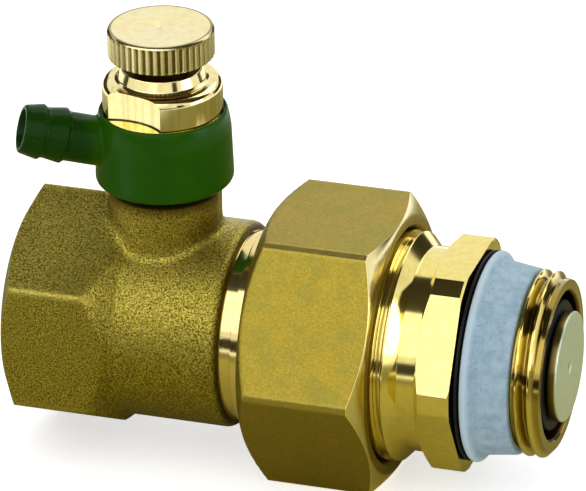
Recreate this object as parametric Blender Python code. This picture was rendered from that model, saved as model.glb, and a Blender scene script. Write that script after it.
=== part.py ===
"""Service valve for a heating circuit: a forged brass body with a female
socket, a drain valve with a swivelling hose tail on its neck, a captive
union nut, and a nipple with a self-closing poppet.

Metres, +Z up. The main axis runs along X, from the female socket at -X to
the male thread at +X. The drain axis runs along Z. Y points away from the
side that the hose tail leans towards. The origin is under the middle of the
valve, on the surface that the union nut's lower flat rests on.
"""

from math import cos, pi, radians, sin, sqrt, tan

import bmesh
import bpy
from mathutils import Matrix, Vector

# Clearances between pieces
GAP = 0.0003
THREAD_GAP = 0.00045

# Forged body: socket hexagon, barrel and neck
SOCKET_REACH = 0.0202
SOCKET_AF = 0.032
SOCKET_FACE_R = 0.01515
SOCKET_BORE_R = 0.0121
SOCKET_CHAMFER = 0.0015
SOCKET_DEPTH = 0.0162
RIDGE_ROUND = 0.0012
SHOULDER_FOOT = 0.0037
SHOULDER_SLOPE = 1.15
BARREL_R = 0.0149
BARREL_END = 0.012
BARREL_ROUND = 0.0012
WATERWAY_R = 0.0095
NECK_R = 0.00804
NECK_TOP = 0.0212
NECK_FILLET = 0.0016

# Spigot that carries the union nut
RELIEF_R = 0.0136
RELIEF_WIDTH = 0.00175
SPIGOT_R = 0.0145
LAND_SHOWN = 0.00215
SPIGOT_LIP = 0.0026
SNAP_RING_THICK = 0.0012
SNAP_GROOVE_R = 0.0132
SNAP_RING_STAND = 0.0011
SNAP_RING_OPENING = radians(24.0)
SPIDER_SEAT_R = 0.0105
SPIDER_LENGTH = 0.0044
SPIDER_WALL = 0.0016

# Union nut
NUT_AF = 0.038
NUT_LENGTH = 0.01895
NUT_FLANGE = 0.0017
NUT_START_R = 0.0181
NUT_START_SLOPE = 0.58
NUT_FACE_R = 0.0187
NUT_FACE_SLOPE = tan(radians(60.0))
NUT_MOUTH_R = 0.01703
NUT_THREAD_R = 0.0169
NUT_CORNER_ROUND = 0.0009

# Nipple
NIPPLE_THREAD_R = NUT_THREAD_R - THREAD_GAP
THREAD_SHOWN = 0.0003
RUNOUT_R = 0.0152
RUNOUT_WIDTH = 0.00135
RUNOUT_RISE = 0.00035
COLLAR_R = 0.01645
COLLAR_WIDTH = 0.00055
CONE_LENGTH = 0.00125
WAIST_R = 0.01465
WAIST_LENGTH = 0.0027
HEX_AF = 0.0303
HEX_START_R = 0.015
HEX_START_SLOPE = tan(radians(30.0))
HEX_CORNER_R = 0.0167
HEX_LENGTH = 0.00545
MALE_THREAD_R = 0.01322
MALE_THREAD_SHOWN = 0.00395
MALE_END_R = 0.01224
MALE_RELIEF_R = 0.0119
MALE_BORE_R = 0.0106
SEAT_R = 0.0074
SPRING_ROOM_R = 0.0095

# Seals on the male thread and in the union
UNION_GASKET_THICK = 0.0017
UNION_GASKET_R = 0.0142
HEX_GASKET_THICK = 0.0004
HEX_GASKET_R = 0.01495
SEAL_RING_LENGTH = 0.00655
SEAL_RING_LIP = 0.0009
SEAL_RING_LIP_R = 0.0151
SEAL_RING_R = 0.0139
SEAL_RING_END_R = 0.0133
SEAL_RING_END_ROUND = 0.0006

# Poppet, its stem, spring and guide
UNION_TURNS = 3.0
UNION_PITCH = 0.002309
POPPET_PROUD = 0.0013
POPPET_DISC_R = 0.0079
POPPET_DISC_THICK = 0.0014
POPPET_SEAL_R = 0.0093
POPPET_SEAL_THICK = 0.0014
BACK_WASHER_R = 0.0064
BACK_WASHER_THICK = 0.0012
STEM_R = 0.0025
STEM_NECK_R = 0.0019
STEM_RECESS = 0.0044
STEM_TAIL = 0.001
CLIP_THICK = 0.0006
CLIP_R = 0.004
CLIP_OPENING = radians(70.0)
SPRING_CUP_R = 0.0062
SPRING_CUP_THICK = 0.0011
SPRING_CUP_RIM = 0.001
SPRING_CUP_WALL = 0.0006
SPRING_COIL_R = 0.0046
SPRING_WIRE_R = 0.00055
SPRING_TURNS = 4.5
GUIDE_LENGTH = 0.0035
GUIDE_WALL = 0.0015
SEAT_LAND = 0.00435
GUIDE_HUB_R = 0.0042
ARM_WIDTH = 0.0022
PIN_R = 0.0016
SPIDER_HUB_R = 0.0026

# Drain valve on the neck
SHANK_R = 0.0053
SHANK_BOTTOM = 0.0104
SHANK_WAIST_R = 0.0046
INLET_R = 0.0018
DRAIN_SEAT_Z = 0.0235
SPINDLE_BORE_R = 0.0032
SPINDLE_THREAD_R = 0.0038
SPINDLE_STEP_Z = 0.0306
PORT_R = 0.001
PORT_COUNT = 4
HEAD_R = 0.00854
HEAD_AF = 0.0147
HEAD_BOTTOM = 0.0326
HEAD_TOP = 0.0375
HEAD_RIM_ROUND = 0.0012
HEAD_TURN = radians(-14.3)
BOSS_R = 0.00615
BOSS_TOP = 0.03935

# Drain screw with its knurled head
SPINDLE_NOSE_R = 0.0026
SPINDLE_NOSE = 0.0278
SPINDLE_GROOVE_Z = 0.0316
SPINDLE_GROOVE_WIDTH = 0.0017
SPINDLE_GROOVE_R = 0.0024
KNOB_BOTTOM = 0.0411
KNOB_HEIGHT = 0.0042
KNOB_R = 0.00756
KNOB_RIBS = 40
KNOB_RIB_DEPTH = 0.00032
KNOB_CHAMFER = 0.0004
DRAIN_WASHER_R = 0.0027
DRAIN_WASHER_THICK = 0.0012
HOLDER_RIM = 0.0008
HOLDER_CONE = 0.0004
HOLDER_STEM_R = 0.0016

# Swivelling hose collar and its barbed tail
COLLAR_BOTTOM = 0.022
COLLAR_TOP = 0.0329
COLLAR_FOOT_R = 0.00985
COLLAR_FOOT_ROUND = 0.00065
COLLAR_MID_R = 0.00962
COLLAR_MID_Z = 0.0299
COLLAR_LIP_R = 0.0091
COLLAR_BULGE = 0.0001
COLLAR_LAND_R = SHANK_R + GAP
CHAMBER_R = 0.0074
CHAMBER_BOTTOM = 0.0246
CHAMBER_TOP = 0.0296
O_RING_WIRE_R = 0.0006
FOOT_O_RING_R = 0.0073
HEAD_O_RING_WIRE_R = 0.0005
HEAD_O_RING_R = 0.00675
TAIL_Z = 0.0259
TAIL_TURN = radians(26.5)
TAIL_TILT = radians(15.0)
TAIL_LENGTH = 0.0209
TAIL_R = 0.00353
TAIL_BORE_R = 0.00275
TAIL_ROOT_BORE_R = 0.002
TAIL_BORE_STEP = 0.001
BARB_R = 0.00398
BARB_SPACING = 0.0031
BARB_STEP = 0.0005
TAIL_TIP_R = 0.0034

# Facets round a full turn
ROUND = 36
SMALL_ROUND = 24
TINY_ROUND = 18

# Stations along the main axis, from the drain axis
RING_START = BARREL_END + RELIEF_WIDTH
NUT_START = RING_START + LAND_SHOWN
NUT_END = NUT_START + NUT_LENGTH
FLANGE_END = NUT_START + NUT_FLANGE
SNAP_RING_START = FLANGE_END + GAP
SNAP_GROOVE_END = SNAP_RING_START + SNAP_RING_THICK + GAP
SPIGOT_END = SNAP_GROOVE_END + SPIGOT_LIP
GASKET_START = SPIGOT_END + GAP
NIPPLE_START = GASKET_START + UNION_GASKET_THICK + GAP
THREAD_END = NUT_END + THREAD_SHOWN
COLLAR_START = THREAD_END + RUNOUT_WIDTH
CONE_START = COLLAR_START + COLLAR_WIDTH
WAIST_START = CONE_START + CONE_LENGTH
HEX_START = WAIST_START + WAIST_LENGTH
HEX_END = HEX_START + HEX_LENGTH
HEX_GASKET_START = HEX_END + GAP
SEAL_RING_START = HEX_GASKET_START + HEX_GASKET_THICK + GAP
SEAL_RING_END = SEAL_RING_START + SEAL_RING_LENGTH
MALE_THREAD_START = SEAL_RING_END + GAP
MALE_END = SEAL_RING_END + MALE_THREAD_SHOWN + GAP
POPPET_FACE = MALE_END + POPPET_PROUD

# Stations of the poppet, from its face back to the pusher
POPPET_STROKE = UNION_TURNS * UNION_PITCH
DISC_BACK = POPPET_FACE - POPPET_DISC_THICK
SEAL_FRONT = DISC_BACK - GAP
SEAL_BACK = SEAL_FRONT - POPPET_SEAL_THICK
BACK_WASHER_FRONT = SEAL_BACK - GAP
BACK_WASHER_BACK = BACK_WASHER_FRONT - BACK_WASHER_THICK
VALVE_SEAT = SEAL_BACK - POPPET_STROKE - GAP
GUIDE_END = VALVE_SEAT - SEAT_LAND
GUIDE_START = GUIDE_END - GUIDE_LENGTH
STEM_START = NIPPLE_START + STEM_RECESS
CLIP_START = STEM_START + STEM_TAIL
SPRING_CUP_START = CLIP_START + CLIP_THICK + GAP
SPRING_START = SPRING_CUP_START + SPRING_CUP_THICK + GAP
SPRING_END = GUIDE_START - GAP
SPIDER_START = SPIGOT_END - GAP - SPIDER_LENGTH
PIN_END = STEM_START - GAP

# The drain axis and the main axis in the part's frame
DRAIN_X = (SOCKET_REACH - POPPET_FACE) / 2
MAIN_AXIS_Z = NUT_AF / 2


def remove_all():
    for item in list(bpy.data.objects):
        bpy.data.objects.remove(item, do_unlink=True)


def material(name, colour, roughness, metallic):
    found = bpy.data.materials.get(name)
    if found:
        return found
    made = bpy.data.materials.new(name)
    made.use_nodes = True
    shader = made.node_tree.nodes["Principled BSDF"]
    shader.inputs["Base Color"].default_value = (*colour, 1.0)
    shader.inputs["Roughness"].default_value = roughness
    shader.inputs["Metallic"].default_value = metallic
    made.diffuse_color = (*colour, 1.0)
    return made


def empty(name, location, rotation=(0.0, 0.0, 0.0)):
    made = bpy.data.objects.new(name, None)
    made.empty_display_size = NECK_R
    made.location = location
    made.rotation_euler = rotation
    bpy.context.scene.collection.objects.link(made)
    return made


def place(name, bm, finish, parent):
    """Turn a bmesh into a named object on one of the two axes."""
    bmesh.ops.recalc_face_normals(bm, faces=bm.faces[:])
    mesh = bpy.data.meshes.new(name)
    bm.to_mesh(mesh)
    bm.free()
    mesh.materials.append(finish)
    mesh.shade_smooth()
    mesh.set_sharp_from_angle(angle=radians(25.0))
    made = bpy.data.objects.new(name, mesh)
    made.parent = parent
    bpy.context.scene.collection.objects.link(made)
    return made


def turned(outline, segments):
    """Spin (axial, radius) points about local Z into a closed body."""
    bm = bmesh.new()
    rim = [bm.verts.new((radius, 0.0, axial)) for axial, radius in outline]
    pairs = list(zip(rim, rim[1:]))
    if outline[0][1] > 0.0 or outline[-1][1] > 0.0:
        pairs.append((rim[-1], rim[0]))
    edges = [bm.edges.new(pair) for pair in pairs]
    bmesh.ops.spin(
        bm, geom=rim + edges, cent=(0, 0, 0), axis=(0, 0, 1),
        angle=2 * pi, steps=segments, use_merge=True,
    )
    bmesh.ops.remove_doubles(bm, verts=bm.verts[:], dist=1e-7)
    return bm


def arc(centre, radius, start, end, steps=4):
    """Points of an arc in an (axial, radius) outline, angles in degrees."""
    points = []
    for step in range(steps + 1):
        angle = radians(start + (end - start) * step / steps)
        points.append((centre[0] + radius * cos(angle), centre[1] + radius * sin(angle)))
    return points


def ring_outline(start, end, inner, outer):
    return [(start, inner), (start, outer), (end, outer), (end, inner)]


def loop_faces(bm, rings):
    """Join rings of vertices one after another and close both ends."""
    count = len(rings[0])
    for low, high in zip(rings, rings[1:]):
        for index in range(count):
            following = (index + 1) % count
            bm.faces.new((low[index], low[following], high[following], high[index]))


def hexagon(across_flats, first_corner):
    """Six corners of a hexagon in local XY."""
    reach = across_flats / 2 / cos(pi / 6)
    return [
        Vector((reach * cos(first_corner + k * pi / 3), reach * sin(first_corner + k * pi / 3), 0.0))
        for k in range(6)
    ]


def hexagon_prism(across_flats, start, end, first_corner, corner_round=0.0):
    bm = bmesh.new()
    corners = hexagon(across_flats, first_corner)
    low = [bm.verts.new(corner + Vector((0, 0, start))) for corner in corners]
    high = [bm.verts.new(corner + Vector((0, 0, end))) for corner in corners]
    loop_faces(bm, [low, high])
    bm.faces.new(low)
    bm.faces.new(high)
    if corner_round:
        edges = [edge for edge in bm.edges if abs(edge.verts[0].co.z - edge.verts[1].co.z) > 1e-6]
        bmesh.ops.bevel(bm, geom=edges, offset=corner_round, segments=2, profile=0.5, affect="EDGES")
    return bm


def tube_along(points, radius, sides):
    """A round bar along an open path of points, closed at both ends."""
    bm = bmesh.new()
    rings = []
    for index, point in enumerate(points):
        ahead = points[min(index + 1, len(points) - 1)]
        behind = points[max(index - 1, 0)]
        along = (ahead - behind).normalized()
        across = along.cross(Vector((0, 0, 1))).normalized()
        up = across.cross(along)
        rings.append([
            bm.verts.new(point + radius * (cos(a) * across + sin(a) * up))
            for a in (2 * pi * k / sides for k in range(sides))
        ])
    loop_faces(bm, rings)
    bm.faces.new(rings[0])
    bm.faces.new(rings[-1])
    return bm


def o_ring(name, centre_z, ring_r, wire_r, finish, parent):
    outline = arc((centre_z, ring_r), wire_r, 0.0, 300.0, steps=5)
    return place(name, turned(outline, SMALL_ROUND), finish, parent)


def boolean(target, other, operation):
    """Use another object as a cutter or an addition, and keep it as a guide."""
    step = target.modifiers.new(other.name, "BOOLEAN")
    step.operation = operation
    step.solver = "EXACT"
    step.object = other
    other.hide_render = True
    other.display_type = "WIRE"


def split_ring(name, outline, opening, width, finish, parent):
    """A turned ring with a wedge taken out, as a snap ring has."""
    made = place(name, turned(outline, SMALL_ROUND), finish, parent)
    starts = [point[0] for point in outline]
    bm = bmesh.new()
    reach = width * 2
    half = tan(opening / 2) * reach
    rings = []
    for z in (min(starts) - GAP, max(starts) + GAP):
        rings.append([
            bm.verts.new((0.0, 0.0, z)),
            bm.verts.new((reach, -half, z)),
            bm.verts.new((reach, half, z)),
        ])
    loop_faces(bm, rings)
    bm.faces.new(rings[0])
    bm.faces.new(rings[1])
    boolean(made, place(name + "_opening", bm, finish, parent), "DIFFERENCE")
    return made


def spider(name, start, end, outer, inner, hub, hub_outline, finish, parent):
    """A ring, three arms and a hub, as one piece."""
    made = place(name, turned(ring_outline(start, end, inner, outer), SMALL_ROUND), finish, parent)
    boolean(made, place(name + "_hub", turned(hub_outline, TINY_ROUND), finish, parent), "UNION")
    for index in range(3):
        bm = bmesh.new()
        bmesh.ops.create_cube(bm, size=1.0)
        reach = (inner + outer) / 2 - hub * 0.8
        middle = hub * 0.8 + reach / 2
        thick = (end - start) * 0.7
        bmesh.ops.scale(bm, vec=(reach, ARM_WIDTH, thick), verts=bm.verts[:])
        bmesh.ops.translate(bm, vec=(middle, 0, (start + end) / 2), verts=bm.verts[:])
        turn = Matrix.Rotation(index * 2 * pi / 3 + pi / 6, 3, "Z")
        bmesh.ops.rotate(bm, matrix=turn, verts=bm.verts[:])
        boolean(made, place(f"{name}_arm_{index + 1}", bm, finish, parent), "UNION")
    return made


# Finishes
def forged_brass():
    return material("forged_brass", (0.36, 0.28, 0.07), 0.55, 1.0)


def nut_brass():
    return material("nut_brass", (0.46, 0.36, 0.09), 0.42, 1.0)


def turned_brass():
    return material("turned_brass", (0.80, 0.66, 0.30), 0.2, 1.0)


def black_rubber():
    return material("black_rubber", (0.012, 0.012, 0.012), 0.6, 0.0)


def gasket_fibre():
    return material("gasket_fibre", (0.16, 0.20, 0.17), 0.8, 0.0)


def pale_plastic():
    return material("pale_plastic", (0.50, 0.60, 0.66), 0.6, 0.0)


def green_plastic():
    return material("green_plastic", (0.012, 0.085, 0.010), 0.35, 0.0)


def spring_steel():
    return material("spring_steel", (0.55, 0.55, 0.56), 0.3, 1.0)


def socket_hexagon():
    """Hexagon of the socket, corners up and down, its four side ridges rounded."""
    bm = hexagon_prism(SOCKET_AF, -SOCKET_REACH, -SHOULDER_FOOT + GAP, 0.0)
    ridges = [
        edge for edge in bm.edges
        if abs(edge.verts[0].co.z - edge.verts[1].co.z) > SOCKET_REACH / 3
        and abs(edge.verts[0].co.y) > SOCKET_AF / 4
    ]
    bmesh.ops.bevel(bm, geom=ridges, offset=RIDGE_ROUND, segments=2, profile=0.5, affect="EDGES")
    return bm


def neck_fillet():
    """A collar of wedge section that fills the corner round the neck's foot."""
    bm = bmesh.new()
    rings = [[], [], []]
    wide = NECK_R + NECK_FILLET
    for index in range(ROUND):
        angle = 2 * pi * index / ROUND
        foot = Vector((wide * cos(angle), wide * sin(angle), 0.0))
        foot.z = sqrt(BARREL_R ** 2 - foot.y ** 2) - GAP / 2
        top = Vector((NECK_R * cos(angle), NECK_R * sin(angle), 0.0))
        top.z = sqrt(BARREL_R ** 2 - top.y ** 2) + NECK_FILLET
        under = Vector((NECK_R * 0.9 * cos(angle), NECK_R * 0.9 * sin(angle), BARREL_R * 0.6))
        top.xy *= 1.0 - GAP / NECK_R
        rings[0].append(bm.verts.new(under))
        rings[1].append(bm.verts.new(foot))
        rings[2].append(bm.verts.new(top))
    loop_faces(bm, rings)
    bm.faces.new(rings[0])
    bm.faces.new(rings[2])
    return bm


def valve_body(main_axis, drain_axis):
    """Forged body: hexagon, barrel, neck and machined spigot, bored through."""
    brass = forged_brass()
    body = place("valve_body", socket_hexagon(), brass, main_axis)

    chamfer = tan(radians(30.0))
    corner = SOCKET_AF / 2 / cos(pi / 6) + GAP
    envelope = [
        (-SOCKET_REACH, 0.0),
        (-SOCKET_REACH, SOCKET_FACE_R),
        (-SOCKET_REACH + (corner - SOCKET_FACE_R) * chamfer, corner),
        (-SHOULDER_FOOT - (corner - BARREL_R) * SHOULDER_SLOPE, corner),
        (-SHOULDER_FOOT, BARREL_R),
        (-SHOULDER_FOOT, 0.0),
    ]
    boolean(body, place("socket_envelope", turned(envelope, ROUND), brass, main_axis), "INTERSECT")

    barrel = [(-SOCKET_REACH / 2, 0.0), (-SOCKET_REACH / 2, BARREL_R)]
    barrel += arc((BARREL_END - BARREL_ROUND, BARREL_R - BARREL_ROUND), BARREL_ROUND, 90.0, 0.0, 3)
    barrel += [
        (BARREL_END, RELIEF_R),
        (RING_START, RELIEF_R),
        (RING_START, SPIGOT_R - GAP / 2),
        (RING_START + GAP / 2, SPIGOT_R),
        (FLANGE_END, SPIGOT_R),
        (FLANGE_END, SNAP_GROOVE_R),
        (SNAP_GROOVE_END, SNAP_GROOVE_R),
        (SNAP_GROOVE_END, SPIGOT_R),
        (SPIGOT_END - 2 * GAP, SPIGOT_R),
        (SPIGOT_END, SPIGOT_R - 2 * GAP),
        (SPIGOT_END, 0.0),
    ]
    boolean(body, place("barrel_and_spigot", turned(barrel, ROUND), brass, main_axis), "UNION")

    neck = [(0.0, 0.0), (0.0, NECK_R), (NECK_TOP - GAP, NECK_R), (NECK_TOP, NECK_R - GAP), (NECK_TOP, 0.0)]
    boolean(body, place("neck", turned(neck, ROUND), brass, drain_axis), "UNION")
    boolean(body, place("neck_fillet", neck_fillet(), brass, drain_axis), "UNION")

    bore = [
        (-SOCKET_REACH - GAP, 0.0),
        (-SOCKET_REACH - GAP, SOCKET_BORE_R + SOCKET_CHAMFER + GAP),
        (-SOCKET_REACH + SOCKET_CHAMFER, SOCKET_BORE_R),
        (-SOCKET_REACH + SOCKET_DEPTH, SOCKET_BORE_R),
        (-SOCKET_REACH + SOCKET_DEPTH, WATERWAY_R),
        (SPIDER_START - GAP, WATERWAY_R),
        (SPIDER_START - GAP, SPIDER_SEAT_R),
        (SPIGOT_END + GAP, SPIDER_SEAT_R),
        (SPIGOT_END + GAP, 0.0),
    ]
    boolean(body, place("main_bore", turned(bore, ROUND), brass, main_axis), "DIFFERENCE")
    shaft = [
        (0.0, 0.0),
        (0.0, SHANK_R + GAP),
        (NECK_TOP + GAP, SHANK_R + GAP),
        (NECK_TOP + GAP, 0.0),
    ]
    boolean(body, place("neck_bore", turned(shaft, SMALL_ROUND), brass, drain_axis), "DIFFERENCE")


def push_spider(main_axis):
    """Pressed into the spigot: its pin holds the poppet open."""
    end = SPIDER_START + SPIDER_LENGTH
    hub = [
        (SPIDER_START, 0.0),
        (SPIDER_START, SPIDER_HUB_R),
        (end, SPIDER_HUB_R),
        (end + PIN_R, PIN_R),
        (PIN_END, PIN_R),
        (PIN_END, 0.0),
    ]
    ring_r = SPIDER_SEAT_R - GAP
    spider(
        "push_spider", SPIDER_START, end, ring_r, ring_r - SPIDER_WALL, SPIDER_HUB_R, hub,
        turned_brass(), main_axis,
    )


def nut_snap_ring(main_axis):
    """Split ring in the spigot's groove, behind the nut's inner flange."""
    outer = SPIGOT_R + SNAP_RING_STAND
    outline = ring_outline(
        SNAP_RING_START, SNAP_RING_START + SNAP_RING_THICK, SNAP_GROOVE_R + GAP, outer,
    )
    split_ring("nut_snap_ring", outline, SNAP_RING_OPENING, outer, spring_steel(), main_axis)


def union_gasket(main_axis):
    outline = ring_outline(
        GASKET_START, GASKET_START + UNION_GASKET_THICK, SPIDER_SEAT_R + GAP, UNION_GASKET_R,
    )
    place("union_gasket", turned(outline, SMALL_ROUND), gasket_fibre(), main_axis)


def union_nut(main_axis):
    """Captive nut: an inner flange at one end, the thread's bore at the other."""
    brass = nut_brass()
    prism = hexagon_prism(NUT_AF, NUT_START, NUT_END, pi / 6, NUT_CORNER_ROUND)
    nut = place("union_nut", prism, brass, main_axis)
    reach = NUT_AF / 2 / cos(pi / 6) + GAP
    envelope = [
        (NUT_START, 0.0),
        (NUT_START, NUT_START_R),
        (NUT_START + (reach - NUT_START_R) * NUT_START_SLOPE, reach),
        (NUT_END - (reach - NUT_FACE_R) / NUT_FACE_SLOPE, reach),
        (NUT_END, NUT_FACE_R),
        (NUT_END, 0.0),
    ]
    boolean(nut, place("nut_envelope", turned(envelope, ROUND), brass, main_axis), "INTERSECT")
    bore = [
        (NUT_START - GAP, 0.0),
        (NUT_START - GAP, SPIGOT_R + GAP),
        (FLANGE_END, SPIGOT_R + GAP),
        (FLANGE_END, NUT_THREAD_R),
        (NUT_END - 2 * GAP, NUT_THREAD_R),
        (NUT_END + GAP, NUT_MOUTH_R + GAP),
        (NUT_END + GAP, 0.0),
    ]
    boolean(nut, place("nut_bore", turned(bore, ROUND), brass, main_axis), "DIFFERENCE")


def nipple(main_axis):
    """Turned nipple: union thread, collar, hexagon and male pipe thread."""
    brass = turned_brass()
    hex_reach = HEX_AF / 2 / cos(pi / 6) + GAP
    made = place("nipple", hexagon_prism(HEX_AF, HEX_START, HEX_END, pi / 6), brass, main_axis)
    envelope = [
        (HEX_START, 0.0),
        (HEX_START, HEX_START_R),
        (HEX_START + (HEX_CORNER_R - HEX_START_R) * HEX_START_SLOPE, HEX_CORNER_R),
        (HEX_END, HEX_CORNER_R),
        (HEX_END, 0.0),
    ]
    boolean(made, place("hexagon_envelope", turned(envelope, ROUND), brass, main_axis), "INTERSECT")
    core = [
        (NIPPLE_START, 0.0),
        (NIPPLE_START, NIPPLE_THREAD_R - 3 * GAP),
        (NIPPLE_START + 3 * GAP, NIPPLE_THREAD_R),
        (THREAD_END, NIPPLE_THREAD_R),
        (THREAD_END, RUNOUT_R),
        (COLLAR_START - RUNOUT_RISE, RUNOUT_R),
        (COLLAR_START, COLLAR_R),
        (CONE_START, COLLAR_R),
        (WAIST_START, WAIST_R),
        (HEX_START + HEX_LENGTH / 2, WAIST_R),
        (HEX_START + HEX_LENGTH / 2, MALE_RELIEF_R),
        (MALE_THREAD_START, MALE_RELIEF_R),
        (MALE_THREAD_START + GAP, MALE_THREAD_R),
        (MALE_END - (MALE_THREAD_R - MALE_END_R) * 0.7, MALE_THREAD_R),
        (MALE_END, MALE_END_R),
        (MALE_END, 0.0),
    ]
    boolean(made, place("nipple_core", turned(core, ROUND), brass, main_axis), "UNION")
    bore = [
        (NIPPLE_START - GAP, 0.0),
        (NIPPLE_START - GAP, SPRING_ROOM_R),
        (GUIDE_END + GAP, SPRING_ROOM_R),
        (GUIDE_END + GAP, SEAT_R),
        (VALVE_SEAT, SEAT_R),
        (VALVE_SEAT, MALE_BORE_R),
        (MALE_END + GAP, MALE_BORE_R),
        (MALE_END + GAP, 0.0),
    ]
    boolean(made, place("nipple_bore", turned(bore, SMALL_ROUND), brass, main_axis), "DIFFERENCE")


def hexagon_gasket(main_axis):
    outline = ring_outline(
        HEX_GASKET_START, HEX_GASKET_START + HEX_GASKET_THICK, MALE_RELIEF_R + GAP, HEX_GASKET_R,
    )
    place("hexagon_gasket", turned(outline, ROUND), black_rubber(), main_axis)


def thread_seal_ring(main_axis):
    """Plastic sealing ring: a lip against the hexagon and a tapered skirt."""
    inner = MALE_RELIEF_R + GAP
    half = SEAL_RING_LIP / 2
    rim = SEAL_RING_END_ROUND
    outline = [(SEAL_RING_START, inner)]
    outline += arc((SEAL_RING_START + half, SEAL_RING_LIP_R - half), half, 180.0, 30.0, 4)
    outline += [(SEAL_RING_START + 3 * half, SEAL_RING_R)]
    outline += arc((SEAL_RING_END - rim, SEAL_RING_END_R - rim), rim, 90.0, 0.0, 3)
    outline += [(SEAL_RING_END, inner)]
    place("thread_seal_ring", turned(outline, ROUND), pale_plastic(), main_axis)


def stem_guide(main_axis):
    """Spider in the nipple that the stem slides in and the spring bears on."""
    hub = [
        (GUIDE_START, STEM_R + GAP),
        (GUIDE_START, GUIDE_HUB_R + SPRING_WIRE_R * 2),
        (GUIDE_START + GUIDE_LENGTH * 0.3, GUIDE_HUB_R + SPRING_WIRE_R * 2),
        (GUIDE_START + GUIDE_LENGTH * 0.4, GUIDE_HUB_R),
        (GUIDE_END, GUIDE_HUB_R),
        (GUIDE_END, STEM_R + GAP),
    ]
    ring_r = SPRING_ROOM_R - GAP
    spider(
        "stem_guide", GUIDE_START, GUIDE_END, ring_r, ring_r - GUIDE_WALL, GUIDE_HUB_R, hub,
        turned_brass(), main_axis,
    )


def poppet(main_axis):
    """Turned disc and stem of the self-closing valve."""
    outline = [
        (STEM_START, 0.0),
        (STEM_START, STEM_R - GAP),
        (STEM_START + GAP, STEM_R),
        (CLIP_START - GAP, STEM_R),
        (CLIP_START - GAP, STEM_NECK_R),
        (CLIP_START + CLIP_THICK + GAP, STEM_NECK_R),
        (CLIP_START + CLIP_THICK + GAP, STEM_R),
        (DISC_BACK, STEM_R),
        (DISC_BACK, POPPET_DISC_R),
        (POPPET_FACE - GAP, POPPET_DISC_R),
        (POPPET_FACE, POPPET_DISC_R - GAP),
        (POPPET_FACE, 0.0),
    ]
    place("poppet", turned(outline, SMALL_ROUND), turned_brass(), main_axis)


def poppet_seal(main_axis):
    outline = ring_outline(SEAL_BACK, SEAL_FRONT, STEM_R + GAP, POPPET_SEAL_R)
    place("poppet_seal", turned(outline, SMALL_ROUND), black_rubber(), main_axis)


def seal_back_washer(main_axis):
    outline = ring_outline(BACK_WASHER_BACK, BACK_WASHER_FRONT, STEM_R + GAP, BACK_WASHER_R)
    place("seal_back_washer", turned(outline, SMALL_ROUND), turned_brass(), main_axis)


def stem_clip(main_axis):
    outline = ring_outline(CLIP_START, CLIP_START + CLIP_THICK, STEM_NECK_R + GAP, CLIP_R)
    split_ring("stem_clip", outline, CLIP_OPENING, CLIP_R, spring_steel(), main_axis)


def spring_cup(main_axis):
    start = SPRING_CUP_START
    floor = start + SPRING_CUP_THICK
    rim = floor + SPRING_CUP_RIM
    wall = SPRING_CUP_R - SPRING_CUP_WALL
    outline = [
        (start, STEM_R + GAP), (start, SPRING_CUP_R), (rim, SPRING_CUP_R),
        (rim, wall), (floor, wall), (floor, STEM_R + GAP),
    ]
    place("spring_cup", turned(outline, SMALL_ROUND), turned_brass(), main_axis)


def poppet_spring(main_axis):
    """Compression spring from the cup to the guide."""
    steps = int(SPRING_TURNS * 14)
    first = SPRING_START + SPRING_WIRE_R
    last = SPRING_END - SPRING_WIRE_R
    path = []
    for step in range(steps + 1):
        share = step / steps
        angle = 2 * pi * SPRING_TURNS * share
        path.append(Vector((
            SPRING_COIL_R * cos(angle), SPRING_COIL_R * sin(angle), first + (last - first) * share,
        )))
    place("poppet_spring", tube_along(path, SPRING_WIRE_R, 6), spring_steel(), main_axis)


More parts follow.
